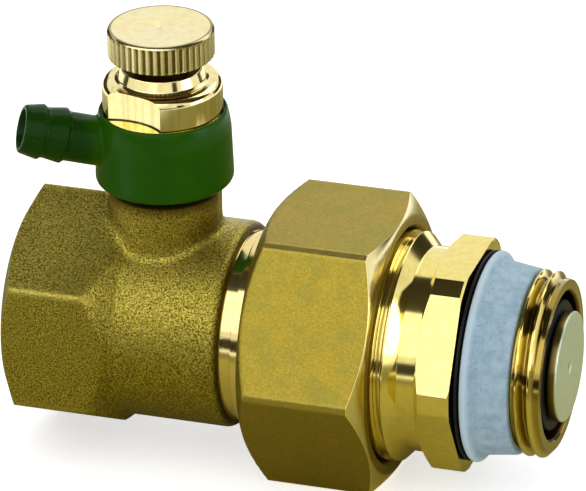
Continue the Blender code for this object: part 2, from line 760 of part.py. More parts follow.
def drain_body(drain_axis):
    """Hollow bolt that holds the hose collar down and carries the drain screw."""
    brass = turned_brass()
    head = [(HEAD_BOTTOM, 0.0), (HEAD_BOTTOM, HEAD_R)]
    head += arc((HEAD_TOP - HEAD_RIM_ROUND, HEAD_R - HEAD_RIM_ROUND), HEAD_RIM_ROUND, 90.0, 0.0, 5)
    head += [
        (HEAD_TOP, BOSS_R), (BOSS_TOP - GAP, BOSS_R), (BOSS_TOP, BOSS_R - GAP), (BOSS_TOP, 0.0),
    ]
    made = place("drain_body", turned(head, ROUND), brass, drain_axis)
    flats = bmesh.new()
    bmesh.ops.create_cube(flats, size=1.0)
    low, high = HEAD_BOTTOM - GAP, BOSS_TOP + GAP
    bmesh.ops.scale(flats, vec=(3 * HEAD_R, HEAD_AF, high - low), verts=flats.verts[:])
    bmesh.ops.translate(flats, vec=(0, 0, (low + high) / 2), verts=flats.verts[:])
    bmesh.ops.rotate(flats, matrix=Matrix.Rotation(HEAD_TURN, 3, "Z"), verts=flats.verts[:])
    boolean(made, place("drain_head_flats", flats, brass, drain_axis), "INTERSECT")
    shank = [
        (SHANK_BOTTOM, 0.0),
        (SHANK_BOTTOM, SHANK_R - GAP),
        (SHANK_BOTTOM + GAP, SHANK_R),
        (CHAMBER_BOTTOM, SHANK_R),
        (CHAMBER_BOTTOM + SHANK_R - SHANK_WAIST_R, SHANK_WAIST_R),
        (CHAMBER_TOP - SHANK_R + SHANK_WAIST_R, SHANK_WAIST_R),
        (CHAMBER_TOP, SHANK_R),
        (HEAD_BOTTOM + GAP, SHANK_R),
        (HEAD_BOTTOM + GAP, 0.0),
    ]
    boolean(made, place("drain_shank", turned(shank, SMALL_ROUND), brass, drain_axis), "UNION")
    bore = [
        (SHANK_BOTTOM - GAP, 0.0),
        (SHANK_BOTTOM - GAP, INLET_R),
        (DRAIN_SEAT_Z, INLET_R),
        (DRAIN_SEAT_Z, SPINDLE_BORE_R),
        (SPINDLE_STEP_Z, SPINDLE_BORE_R),
        (SPINDLE_STEP_Z, SPINDLE_THREAD_R + GAP),
        (BOSS_TOP + GAP, SPINDLE_THREAD_R + GAP),
        (BOSS_TOP + GAP, 0.0),
    ]
    boolean(made, place("drain_bore", turned(bore, SMALL_ROUND), brass, drain_axis), "DIFFERENCE")
    middle = (CHAMBER_BOTTOM + CHAMBER_TOP) / 2
    for index in range(PORT_COUNT // 2):
        port = [(-SHANK_R, 0.0), (-SHANK_R, PORT_R), (SHANK_R, PORT_R), (SHANK_R, 0.0)]
        bm = turned(port, 12)
        turn = Matrix.Rotation((index + 0.5) * 2 * pi / PORT_COUNT, 4, "Z")
        turn = turn @ Matrix.Rotation(pi / 2, 4, "X")
        bmesh.ops.transform(bm, matrix=Matrix.Translation((0, 0, middle)) @ turn, verts=bm.verts[:])
        boolean(made, place(f"drain_port_{index + 1}", bm, brass, drain_axis), "DIFFERENCE")


def collar_seals(drain_axis):
    """Two O-rings: under the bolt's head, and on the neck's top."""
    foot = NECK_TOP + GAP + O_RING_WIRE_R
    o_ring("collar_foot_o_ring", foot, FOOT_O_RING_R, O_RING_WIRE_R, black_rubber(), drain_axis)
    top = HEAD_BOTTOM - GAP - HEAD_O_RING_WIRE_R
    o_ring("collar_head_o_ring", top, HEAD_O_RING_R, HEAD_O_RING_WIRE_R, black_rubber(), drain_axis)


def tail_direction():
    return Vector((
        -cos(TAIL_TILT) * cos(TAIL_TURN),
        -cos(TAIL_TILT) * sin(TAIL_TURN),
        sin(TAIL_TILT),
    ))


def along_tail(outline, segments):
    """A turned body with its axis along the hose tail."""
    bm = turned(outline, segments)
    turn = Vector((0, 0, 1)).rotation_difference(tail_direction()).to_matrix().to_4x4()
    bmesh.ops.transform(bm, matrix=Matrix.Translation((0, 0, TAIL_Z)) @ turn, verts=bm.verts[:])
    return bm


def hose_collar(drain_axis):
    """Moulded collar that swivels round the drain body, with its barbed tail."""
    green = green_plastic()
    outside = [(COLLAR_BOTTOM, 0.0)]
    outside += arc(
        (COLLAR_BOTTOM + COLLAR_FOOT_ROUND, COLLAR_FOOT_R - COLLAR_FOOT_ROUND),
        COLLAR_FOOT_ROUND, 180.0, 90.0, 3,
    )
    outside += [
        (COLLAR_MID_Z, COLLAR_MID_R),
        ((COLLAR_MID_Z + COLLAR_TOP) / 2, (COLLAR_MID_R + COLLAR_LIP_R) / 2 + COLLAR_BULGE),
        (COLLAR_TOP, COLLAR_LIP_R),
        (COLLAR_TOP, 0.0),
    ]
    made = place("hose_collar", turned(outside, ROUND), green, drain_axis)

    first_barb = TAIL_LENGTH - 2 * BARB_SPACING
    second_barb = TAIL_LENGTH - BARB_SPACING
    tail = [
        (SHANK_R, 0.0),
        (SHANK_R, TAIL_R),
        (first_barb - BARB_STEP, TAIL_R),
        (first_barb, BARB_R),
        (second_barb - 1.6 * BARB_STEP, TAIL_R + GAP / 4),
        (second_barb - 0.4 * BARB_STEP, BARB_R),
        (TAIL_LENGTH - GAP, TAIL_TIP_R),
        (TAIL_LENGTH, TAIL_TIP_R - GAP / 2),
        (TAIL_LENGTH, 0.0),
    ]
    boolean(made, place("hose_tail", along_tail(tail, SMALL_ROUND), green, drain_axis), "UNION")

    o_ring_floor = HEAD_BOTTOM - 2 * GAP - 2 * HEAD_O_RING_WIRE_R
    head_floor = HEAD_BOTTOM - GAP
    foot_roof = NECK_TOP + 2 * GAP + 2 * O_RING_WIRE_R
    inside = [
        (COLLAR_BOTTOM - GAP, 0.0),
        (COLLAR_BOTTOM - GAP, FOOT_O_RING_R + O_RING_WIRE_R + GAP),
        (foot_roof, FOOT_O_RING_R + O_RING_WIRE_R + GAP),
        (foot_roof, COLLAR_LAND_R),
        (CHAMBER_BOTTOM, COLLAR_LAND_R),
        (CHAMBER_BOTTOM, CHAMBER_R),
        (CHAMBER_TOP, CHAMBER_R),
        (CHAMBER_TOP, COLLAR_LAND_R),
        (o_ring_floor, COLLAR_LAND_R),
        (o_ring_floor, HEAD_O_RING_R + HEAD_O_RING_WIRE_R + GAP),
        (head_floor, HEAD_O_RING_R + HEAD_O_RING_WIRE_R + GAP),
        (head_floor, HEAD_R + GAP),
        (COLLAR_TOP + GAP, HEAD_R + GAP),
        (COLLAR_TOP + GAP, 0.0),
    ]
    boolean(made, place("collar_inside", turned(inside, SMALL_ROUND), green, drain_axis), "DIFFERENCE")
    tail_bore = [
        (CHAMBER_R * 0.8, 0.0),
        (CHAMBER_R * 0.8, TAIL_ROOT_BORE_R),
        (COLLAR_FOOT_R + TAIL_BORE_STEP, TAIL_ROOT_BORE_R),
        (COLLAR_FOOT_R + 2 * TAIL_BORE_STEP, TAIL_BORE_R),
        (TAIL_LENGTH + GAP, TAIL_BORE_R),
        (TAIL_LENGTH + GAP, 0.0),
    ]
    bore = place("hose_tail_bore", along_tail(tail_bore, TINY_ROUND), green, drain_axis)
    boolean(made, bore, "DIFFERENCE")


def knurled_disc():
    """Ribbed rim of the drain screw, as an extruded outline of ribs."""
    bm = bmesh.new()
    top = KNOB_BOTTOM + KNOB_HEIGHT
    stations = [
        (KNOB_BOTTOM, KNOB_R - KNOB_CHAMFER / 2, 0.0),
        (KNOB_BOTTOM + KNOB_CHAMFER / 2, KNOB_R, KNOB_RIB_DEPTH),
        (top - KNOB_CHAMFER, KNOB_R, KNOB_RIB_DEPTH),
        (top, KNOB_R - KNOB_CHAMFER, 0.0),
    ]
    rings = []
    for z, reach, depth in stations:
        ring = []
        for index in range(2 * KNOB_RIBS):
            angle = pi * index / KNOB_RIBS
            radius = reach - depth * (index % 2)
            ring.append(bm.verts.new((radius * cos(angle), radius * sin(angle), z)))
        rings.append(ring)
    loop_faces(bm, rings)
    bm.faces.new(rings[0])
    bm.faces.new(rings[-1])
    return bm


def drain_screw(drain_axis):
    """Turned screw: knurled head, thread, O-ring groove and nose."""
    brass = turned_brass()
    made = place("drain_screw", knurled_disc(), brass, drain_axis)
    groove_top = SPINDLE_GROOVE_Z + SPINDLE_GROOVE_WIDTH
    outline = [
        (SPINDLE_NOSE, 0.0),
        (SPINDLE_NOSE, SPINDLE_NOSE_R),
        (SPINDLE_STEP_Z + GAP, SPINDLE_NOSE_R),
        (SPINDLE_STEP_Z + GAP, SPINDLE_THREAD_R),
        (SPINDLE_GROOVE_Z, SPINDLE_THREAD_R),
        (SPINDLE_GROOVE_Z, SPINDLE_GROOVE_R),
        (groove_top, SPINDLE_GROOVE_R),
        (groove_top, SPINDLE_THREAD_R),
        (KNOB_BOTTOM + KNOB_CHAMFER, SPINDLE_THREAD_R),
        (KNOB_BOTTOM + KNOB_CHAMFER, 0.0),
    ]
    boolean(made, place("spindle", turned(outline, SMALL_ROUND), brass, drain_axis), "UNION")


def spindle_o_ring(drain_axis):
    wire = (SPINDLE_THREAD_R - SPINDLE_GROOVE_R - GAP) / 2
    middle = SPINDLE_GROOVE_Z + SPINDLE_GROOVE_WIDTH / 2
    ring_r = SPINDLE_THREAD_R - wire
    o_ring("spindle_o_ring", middle, ring_r, wire, black_rubber(), drain_axis)


def drain_washer(drain_axis):
    """Rubber disc that shuts the drain, in a holder that doesn't turn."""
    low = DRAIN_SEAT_Z + GAP
    high = low + DRAIN_WASHER_THICK
    disc = [(low, 0.0), (low, DRAIN_WASHER_R), (high, DRAIN_WASHER_R), (high, 0.0)]
    place("drain_washer", turned(disc, TINY_ROUND), black_rubber(), drain_axis)
    base = high + GAP
    top = SPINDLE_NOSE - GAP
    holder = [
        (base, 0.0), (base, DRAIN_WASHER_R), (base + HOLDER_RIM, DRAIN_WASHER_R),
        (base + HOLDER_RIM + HOLDER_CONE, HOLDER_STEM_R), (top, HOLDER_STEM_R), (top, 0.0),
    ]
    place("washer_holder", turned(holder, TINY_ROUND), turned_brass(), drain_axis)


def build():
    remove_all()
    main_axis = empty("main_axis", (DRAIN_X, 0.0, MAIN_AXIS_Z), (0.0, pi / 2, 0.0))
    drain_axis = empty("drain_axis", (DRAIN_X, 0.0, MAIN_AXIS_Z))
    valve_body(main_axis, drain_axis)
    push_spider(main_axis)
    nut_snap_ring(main_axis)
    union_gasket(main_axis)
    union_nut(main_axis)
    nipple(main_axis)
    hexagon_gasket(main_axis)
    thread_seal_ring(main_axis)
    stem_guide(main_axis)
    poppet(main_axis)
    poppet_seal(main_axis)
    seal_back_washer(main_axis)
    stem_clip(main_axis)
    spring_cup(main_axis)
    poppet_spring(main_axis)
    drain_body(drain_axis)
    collar_seals(drain_axis)
    hose_collar(drain_axis)
    drain_screw(drain_axis)
    spindle_o_ring(drain_axis)
    drain_washer(drain_axis)


build()
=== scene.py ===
# %% [markdown]
# # A brass service valve, dressed for its portrait
#
# The valve joins a heating pipe to an expansion vessel. A forged body with a
# female socket carries a drain valve on its neck, a union nut holds the
# nipple, and a poppet closes the nipple by itself when the nut is undone.
#
# The plain solids come from the frame. Each cell below makes one piece or one
# finish of the real thing: a sand-blasted casting, a forged nut, bright
# turned brass, moulded plastic and rubber. Every piece is built where the
# frame says it is, so nothing has to be fitted afterwards.

# %% Load the frame
from math import acos, cos, pi, radians, sin, sqrt, tan

import bmesh
import bpy
from mathutils import Matrix, Vector


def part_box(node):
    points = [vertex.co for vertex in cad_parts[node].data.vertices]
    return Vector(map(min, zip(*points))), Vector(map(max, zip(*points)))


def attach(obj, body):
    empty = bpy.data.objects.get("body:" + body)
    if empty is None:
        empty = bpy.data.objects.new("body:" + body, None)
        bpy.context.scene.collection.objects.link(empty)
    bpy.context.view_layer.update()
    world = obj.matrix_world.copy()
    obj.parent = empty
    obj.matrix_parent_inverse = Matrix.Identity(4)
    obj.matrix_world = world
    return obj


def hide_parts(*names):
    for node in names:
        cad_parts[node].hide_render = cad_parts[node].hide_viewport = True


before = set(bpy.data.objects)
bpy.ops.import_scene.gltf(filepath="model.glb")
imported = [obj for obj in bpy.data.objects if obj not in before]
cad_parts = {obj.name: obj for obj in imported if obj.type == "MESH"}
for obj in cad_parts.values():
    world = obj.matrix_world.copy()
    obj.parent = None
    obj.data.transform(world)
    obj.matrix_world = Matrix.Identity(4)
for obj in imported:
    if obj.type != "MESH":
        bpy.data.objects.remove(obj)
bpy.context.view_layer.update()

MM = 0.001

# %% [markdown]
# ## Where things are
#
# Two axes carry everything. The main axis runs along X through socket, nut
# and nipple. The drain axis runs along Z through the neck, the collar and the
# drain screw. Each piece reads where it starts and ends from its solid in the
# frame, and only the forms inside a piece are given as sizes here.

# %% Stations along the two axes
def reach(node, axis):
    """Start and end of a solid of the frame along one axis."""
    low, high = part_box(node)
    index = "xyz".index(axis)
    return low[index], high[index]


GAP = 0.3 * MM
BODY_START, SPIGOT_END = reach("valve_body", "x")
NUT_START, NUT_END = reach("union_nut", "x")
NIPPLE_START, MALE_END = reach("nipple", "x")
DRAIN_X = sum(reach("drain_body", "x")) / 2
MAIN_Z = sum(reach("union_nut", "z")) / 2
NECK_TOP = reach("valve_body", "z")[1]
HEX_END = reach("hexagon_gasket", "x")[0] - GAP
NUT_FLATS = reach("union_nut", "z")[1] - reach("union_nut", "z")[0]
BODY_FLATS = reach("valve_body", "y")[1] - reach("valve_body", "y")[0]
HEAD_BOTTOM = reach("collar_head_o_ring", "z")[1] + GAP
BOSS_TOP = reach("drain_body", "z")[1]
HEAD_FLATS = 14.7 * MM
KNOB_UNDER = MAIN_Z + 41.1 * MM
KNOB_R = 7.56 * MM
HOSE_WALL_R = 9.85 * MM
MALE_START = reach("thread_seal_ring", "x")[1] + GAP
print("main axis at z =", round(MAIN_Z / MM, 2), "drain axis at x =", round(DRAIN_X / MM, 2))


# %% [markdown]
# ## Small tools for turned and hexagonal forms
#
# Most of the valve came off a lathe, so most pieces are an outline spun round
# an axis. An outline drawn with sharp corners looks like plastic, because a
# real turned edge is always broken a little and catches a thin line of light.
# `eased` rounds each corner of an outline by a fraction of a millimetre
# before it is spun, and a guard point on either side keeps the rounding from
# bending the light on the straight stretch beside it.

# %% Outlines
def eased(outline, radius, steps=3):
    """The outline with every corner rounded by up to the given radius."""
    points = [Vector(point) for point in outline]
    result = [points[0]]
    for before, corner, after in zip(points, points[1:], points[2:]):
        into, out = before - corner, after - corner
        turn = into.angle(out, pi)
        if turn > radians(172.0):
            result.append(corner)
            continue
        reach_back = min(radius / tan(turn / 2), 0.45 * into.length, 0.45 * out.length)
        start = corner + into.normalized() * reach_back
        end = corner + out.normalized() * reach_back
        result.append(start + into * 0.03)
        for step in range(steps + 1):
            share = step / steps
            result.append(
                start * (1 - share) ** 2 + corner * 2 * share * (1 - share) + end * share ** 2
            )
        result.append(end + out * 0.03)
    result.append(points[-1])
    return result


def rows(start, end, radius, spacing):
    """A straight stretch of outline with a point at every spacing."""
    count = max(2, round(abs(end - start) / spacing))
    return [(start + (end - start) * k / count, radius) for k in range(count + 1)]


def arc(centre, radius, start, end, steps=10):
    """Points of an arc in an (axial, radius) outline, angles in degrees."""
    angles = [radians(start + (end - start) * k / steps) for k in range(steps + 1)]
    return [(centre[0] + radius * cos(a), centre[1] + radius * sin(a)) for a in angles]


# %% Spinning an outline, and setting it on its axis
def spun(outline, segments=128):
    """Spin (axial, radius) points about local Z. The outline closes on the axis or on itself."""
    bm = bmesh.new()
    rim = [bm.verts.new((radius, 0.0, axial)) for axial, radius in outline]
    pairs = list(zip(rim, rim[1:]))
    if outline[0][1] > 0.0 or outline[-1][1] > 0.0:
        pairs.append((rim[-1], rim[0]))
    edges = [bm.edges.new(pair) for pair in pairs]
    bmesh.ops.spin(
        bm, geom=rim + edges, cent=(0, 0, 0), axis=(0, 0, 1),
        angle=2 * pi, steps=segments, use_merge=True,
    )
    bmesh.ops.remove_doubles(bm, verts=bm.verts[:], dist=1e-7)
    return bm


ON_MAIN = Matrix.Translation((0, 0, MAIN_Z)) @ Matrix.Rotation(pi / 2, 4, "Y")
ON_DRAIN = Matrix.Translation((DRAIN_X, 0, 0))


def solid(name, bm, where):
    """A mesh object with outward faces, placed through its vertices."""
    bmesh.ops.transform(bm, matrix=where, verts=bm.verts[:])
    bmesh.ops.recalc_face_normals(bm, faces=bm.faces[:])
    mesh = bpy.data.meshes.new(name)
    bm.to_mesh(mesh)
    bm.free()
    made = bpy.data.objects.new(name, mesh)
    bpy.context.scene.collection.objects.link(made)
    return made


def ring_faces(bm, rings):
    """Join closed rings of vertices one after another."""
    count = len(rings[0])
    for low, high in zip(rings, rings[1:]):
        for k in range(count):
            bm.faces.new((low[k], low[(k + 1) % count], high[(k + 1) % count], high[k]))


def hexagon(across_flats, first_corner):
    size = across_flats / 2 / cos(pi / 6)
    return [
        Vector((size * cos(first_corner + k * pi / 3), size * sin(first_corner + k * pi / 3), 0.0))
        for k in range(6)
    ]


def hexagon_bar(across_flats, start, end, first_corner):
    bm = bmesh.new()
    corners = hexagon(across_flats, first_corner)
    low = [bm.verts.new(corner + Vector((0, 0, start))) for corner in corners]
    high = [bm.verts.new(corner + Vector((0, 0, end))) for corner in corners]
    ring_faces(bm, [low, high])
    bm.faces.new(low)
    bm.faces.new(high)
    return bm


# %% Plain meshes from modifiers
def settled(obj):
    """Turn an object and its modifiers into one plain mesh."""
    graph = bpy.context.evaluated_depsgraph_get()
    mesh = bpy.data.meshes.new_from_object(obj.evaluated_get(graph))
    old = obj.data
    obj.modifiers.clear()
    obj.data = mesh
    mesh.name = obj.name
    bpy.data.meshes.remove(old)
    return obj


def combine(obj, tool, operation):
    """Add, cut or intersect with another closed form, which is used up."""
    step = obj.modifiers.new("combine", "BOOLEAN")
    step.operation = operation
    step.solver = "EXACT"
    step.object = tool
    settled(obj)
    bpy.data.objects.remove(tool, do_unlink=True)
    return obj


def dress(obj, finish, body, slot, *nodes, crease=30.0):
    """Give a finished piece its material, its body and the solids it stands for."""
    obj.data.materials.clear()
    obj.data.materials.append(finish)
    obj.data.shade_smooth()
    obj.data.set_sharp_from_angle(angle=radians(crease))
    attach(obj, body)
    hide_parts(*nodes)
    obj.data.calc_loop_triangles()
    print(f"{obj.name}: {len(obj.data.loop_triangles)} triangles")
    return obj


# %% [markdown]
# ## Arithmetic on sockets
#
# A shader is easier to read as a formula than as a list of links. `Wire`
# wraps one output socket and gives it Python's operators, so that
# `1 - wear * 0.5` adds the Math nodes that it needs. `Graph.make` adds any
# other node. The same two classes build the Geometry Nodes trees, because
# both kinds of tree share their Math nodes.

# %% Wire and Graph
class Wire:
    """One output socket that takes part in arithmetic."""

    def __init__(self, graph, socket):
        self.graph = graph
        self.socket = socket

    def __add__(self, other):
        return self.graph.maths("ADD", self, other)

    def __sub__(self, other):
        return self.graph.maths("SUBTRACT", self, other)

    def __rsub__(self, other):
        return self.graph.maths("SUBTRACT", other, self)

    def __mul__(self, other):
        return self.graph.maths("MULTIPLY", self, other)

    def __truediv__(self, other):
        return self.graph.maths("DIVIDE", self, other)

    def __pow__(self, other):
        return self.graph.maths("POWER", self, other)

    __radd__ = __add__
    __rmul__ = __mul__


class Graph:
    """A node tree with short ways to add and link its nodes."""

    def __init__(self, tree):
        self.tree = tree

    def plug(self, socket, value):
        if isinstance(value, Wire):
            self.tree.links.new(value.socket, socket)
        elif value is not None:
            socket.default_value = value

    def make(self, kind, settings=None, values=None, output=0):
        """Add a node: its settings first, then its sockets by name or number."""
        node = self.tree.nodes.new(kind)
        for key, value in (settings or {}).items():
            setattr(node, key, value)
        for key, value in (values or {}).items():
            self.plug(node.inputs[key], value)
        return Wire(self, node.outputs[output])

    def maths(self, operation, *values):
        return self.make("ShaderNodeMath", {"operation": operation}, dict(enumerate(values)))

    def step(self, value, low, high):
        """0 below low, 1 above high, and smooth between."""
        return self.make(
            "ShaderNodeMapRange", {"interpolation_type": "SMOOTHSTEP"},
            {"Value": value, "From Min": low, "From Max": high},
        )

    def split(self, vector):
        node = self.tree.nodes.new("ShaderNodeSeparateXYZ")
        self.plug(node.inputs[0], vector)
        return [Wire(self, output) for output in node.outputs]


# %% [markdown]
# ## A material with the valve's own coordinates
#
# Every pattern below is sized in millimetres. The piece's Object coordinates
# are scaled up once, and noise scales then read as grains per millimetre. A
# few masks need to know where on the valve a point lies, for instance which
# part of the body was turned after forging: they read the same coordinates.

# %% The Finish class
class Finish(Graph):
    """A Principled material whose varying inputs are built from wires."""

    def __init__(self, name, metallic=0.0, ior=1.5, specular=0.5):
        self.material = bpy.data.materials.new(name)
        self.material.use_nodes = True
        super().__init__(self.material.node_tree)
        self.shader = self.tree.nodes["Principled BSDF"]
        self.shader.inputs["Metallic"].default_value = metallic
        self.shader.inputs["IOR"].default_value = ior
        self.shader.inputs["Specular IOR Level"].default_value = specular
        self.point = self.make("ShaderNodeTexCoord", output="Object")
        self.mm = self.make(
            "ShaderNodeVectorMath", {"operation": "SCALE"}, {0: self.point, "Scale": 1 / MM},
        )

    def noise(self, scale, detail=2.0, stretch=(1.0, 1.0, 1.0), roughness=0.5, shift=0.0):
        """Noise from 0 to 1 with the given number of grains per millimetre."""
        where = self.make(
            "ShaderNodeMapping", None,
            {"Vector": self.mm, "Scale": stretch, "Location": (shift, shift, shift)},
        )
        return self.make(
            "ShaderNodeTexNoise", None,
            {"Vector": where, "Scale": scale, "Detail": detail, "Roughness": roughness},
        )

    def mix(self, share, one, other):
        """Blend two colours by a share."""
        return self.make(
            "ShaderNodeMix", {"data_type": "RGBA"}, {0: share, 6: self.colour(one), 7: self.colour(other)},
            output=2,
        )

    def colour(self, value):
        return value if isinstance(value, Wire) else (*value, 1.0)

    def bump(self, height, depth, strength=1.0, under=None):
        """A normal from a height field, whose full depth is in millimetres."""
        values = {"Height": height, "Distance": depth * MM, "Strength": strength}
        if under is not None:
            values["Normal"] = under
        return self.make("ShaderNodeBump", None, values)

    def rounded_edges(self, radius):
        """Normals that turn softly over a sharp edge."""
        return self.make("ShaderNodeBevel", {"samples": 4}, {"Radius": radius * MM})

    def corner_wear(self, first, least):
        """1 on the corners of a hexagon, whose first is given in sixths of a turn from +Y."""
        x, y, z = self.split(self.mm)
        up = z - MAIN_Z / MM
        across = self.maths("SQRT", y ** 2 + up ** 2)
        sixths = self.maths("ARCTAN2", up, y) * (3 / pi)
        beside = self.maths("ABSOLUTE", self.maths("FRACT", sixths + (3.5 - first)) - 0.5) * across
        patchy = self.noise(0.6, detail=3.0, shift=13.0) * 0.8
        return (1 - self.step(beside, 0.15, 0.55 + patchy)) * self.step(across, least, least + 0.8)

    def set(self, **values):
        for key, value in values.items():
            self.plug(self.shader.inputs[key.replace("_", " ")], value)
        return self.material


# %% [markdown]
# ## Forged and blasted brass
#
# The body is hot-forged and then sand-blasted. The blast leaves a surface of
# tiny pits, each a small mirror at its own angle, so from a step away the
# brass looks like dull gold sugar: dark olive with bright grains. Two things
# make it here. A bump of fine noise tips the grains, and the colour follows
# the same noise, because the floor of a pit is darker than its rim. The ends
# of the body were turned afterwards, and there the grain gives way to bright
# metal with fine rings.

# %% Forged brass of the body
def forged_brass():
    finish = Finish("forged_brass", metallic=1.0)
    x, y, z = finish.split(finish.mm)
    across = finish.maths("SQRT", y ** 2 + (z - MAIN_Z / MM) ** 2)
    spigot = finish.step(x, TURNED_FROM / MM - 0.05, TURNED_FROM / MM + 0.05)
    socket = 1 - finish.step(across, SOCKET_MOUTH / MM - 0.05, SOCKET_MOUTH / MM + 0.05)
    turned = finish.maths("MAXIMUM", spigot, socket)

    grain = finish.noise(4.0, detail=2.0, roughness=0.6)
    fine = finish.noise(9.5, detail=1.0, shift=9.0)
    patches = finish.noise(0.22, detail=3.0, shift=3.0)
    speck = finish.step(grain * 0.6 + fine * 0.4, 0.38, 0.64)
    rough_gold = finish.mix(speck, (0.085, 0.062, 0.003), (0.70, 0.57, 0.100))
    stains_and_shade = finish.mix(finish.step(patches, 0.35, 0.7) * 0.25, rough_gold, (0.30, 0.27, 0.03))
    # Painted shade: the narrow groove between the barrel's end and the turned spigot is painted dark.
    groove = finish.step(x, BARREL_END / MM - 0.7, BARREL_END / MM - 0.1) - spigot
    # Painted shade: the top of the neck, under the collar, is painted darker.
    under_collar_shade = finish.step(z, NECK_TOP / MM - 2.6, NECK_TOP / MM - 0.7)
    stains_and_shade = finish.mix(finish.maths("MAXIMUM", groove, under_collar_shade) * 0.75, stains_and_shade, (0.07, 0.045, 0.006))
    bright = finish.mix(finish.noise(0.8, shift=5.0), (0.80, 0.64, 0.24), (0.93, 0.78, 0.36))
    # Painted shadow: the neck's top edge, just under the collar, is painted nearly black.
    rim = finish.step(z, NECK_TOP / MM - 0.9, NECK_TOP / MM - 0.4)
    stains_and_shade = finish.mix(rim, stains_and_shade, (0.01, 0.008, 0.002))
    worn = finish.corner_wear(0.5, BARREL_R / MM + 1.6)
    pits = finish.bump(grain * 0.65 + fine * 0.35, 0.13)
    rings = finish.bump(finish.noise(9.0, stretch=(1.0, 0.02, 0.02)), 0.0015)
    normal = finish.make(
        "ShaderNodeMix", {"data_type": "VECTOR"}, {0: turned, 4: pits, 5: rings}, output=1,
    )
    return finish.set(
        Base_Color=finish.mix(turned, finish.mix(worn * 0.25, stains_and_shade, (0.80, 0.66, 0.16)), bright),
        Roughness=0.38 - turned * 0.27 - speck * (1 - turned) * 0.06,
        Normal=normal,
    )


# %% [markdown]
# ## The forged nut
#
# The nut was forged too, but only tumbled, not blasted. Its flats are
# smoother, mottled from mid yellow to a greenish or orange tarnish, with a
# faint leathery grain. Its outer end was faced and chamfered on the lathe.

# %% Tarnished brass of the union nut
def nut_brass():
    finish = Finish("nut_brass", metallic=1.0)
    x, y, z = finish.split(finish.mm)
    across = finish.maths("SQRT", y ** 2 + (z - MAIN_Z / MM) ** 2)
    cone = x - (NUT_END / MM - (across - NUT_FACE_R / MM) / NUT_FACE_SLOPE)
    turned = finish.step(cone, -0.06, -0.02)
    grain = finish.noise(3.2, detail=3.0, roughness=0.6)
    fine = finish.noise(8.0, detail=1.0, shift=4.0)
    mottle = finish.noise(0.33, detail=4.0, roughness=0.6, shift=2.0)
    blush = finish.noise(0.21, detail=2.0, shift=17.0)
    gold = finish.mix(finish.step(grain, 0.3, 0.7), (0.30, 0.225, 0.023), (0.41, 0.315, 0.048))
    green = finish.mix(finish.step(mottle, 0.42, 0.66) * 0.4, gold, (0.30, 0.285, 0.055))
    warm = finish.mix(finish.step(blush, 0.52, 0.70) * 0.25, green, (0.50, 0.30, 0.030))
    worn = finish.mix(finish.corner_wear(0.0, NUT_FACE_R / MM) * 0.25, warm, (0.80, 0.64, 0.20))
    bright = (0.86, 0.74, 0.36)
    pits = finish.bump(grain * 0.75 + fine * 0.25, 0.05)
    rings = finish.bump(finish.noise(6.0, stretch=(1.0, 0.02, 0.02)), 0.004)
    normal = finish.make(
        "ShaderNodeMix", {"data_type": "VECTOR"}, {0: turned, 4: pits, 5: rings}, output=1,
    )
    return finish.set(
        Base_Color=finish.mix(turned, worn, bright),
        Roughness=0.40 - turned * 0.22 + finish.step(mottle, 0.4, 0.7) * 0.06,
        Normal=normal,
    )


# %% [markdown]
# ## Bright turned brass
#
# The nipple, the drain's bolt and the drain screw came off an automatic
# lathe. Their brass is a soft mirror. The tool leaves fine rings round the
# axis, so highlights smear along the axis of the piece: a noise that is
# stretched out across the axis, and fine along it, gives the same streaks.
# Inside the bore, and in the gap under the knob, the colour is painted dark as painted shade, and the metal
# is rougher there.
# The male thread is painted a darker gold, with its roots and the floors between the knurl's ribs darker
# still, as painted shade, from masks on the distance from the axis; and the bolt's sides have long tarnish
# streaks.

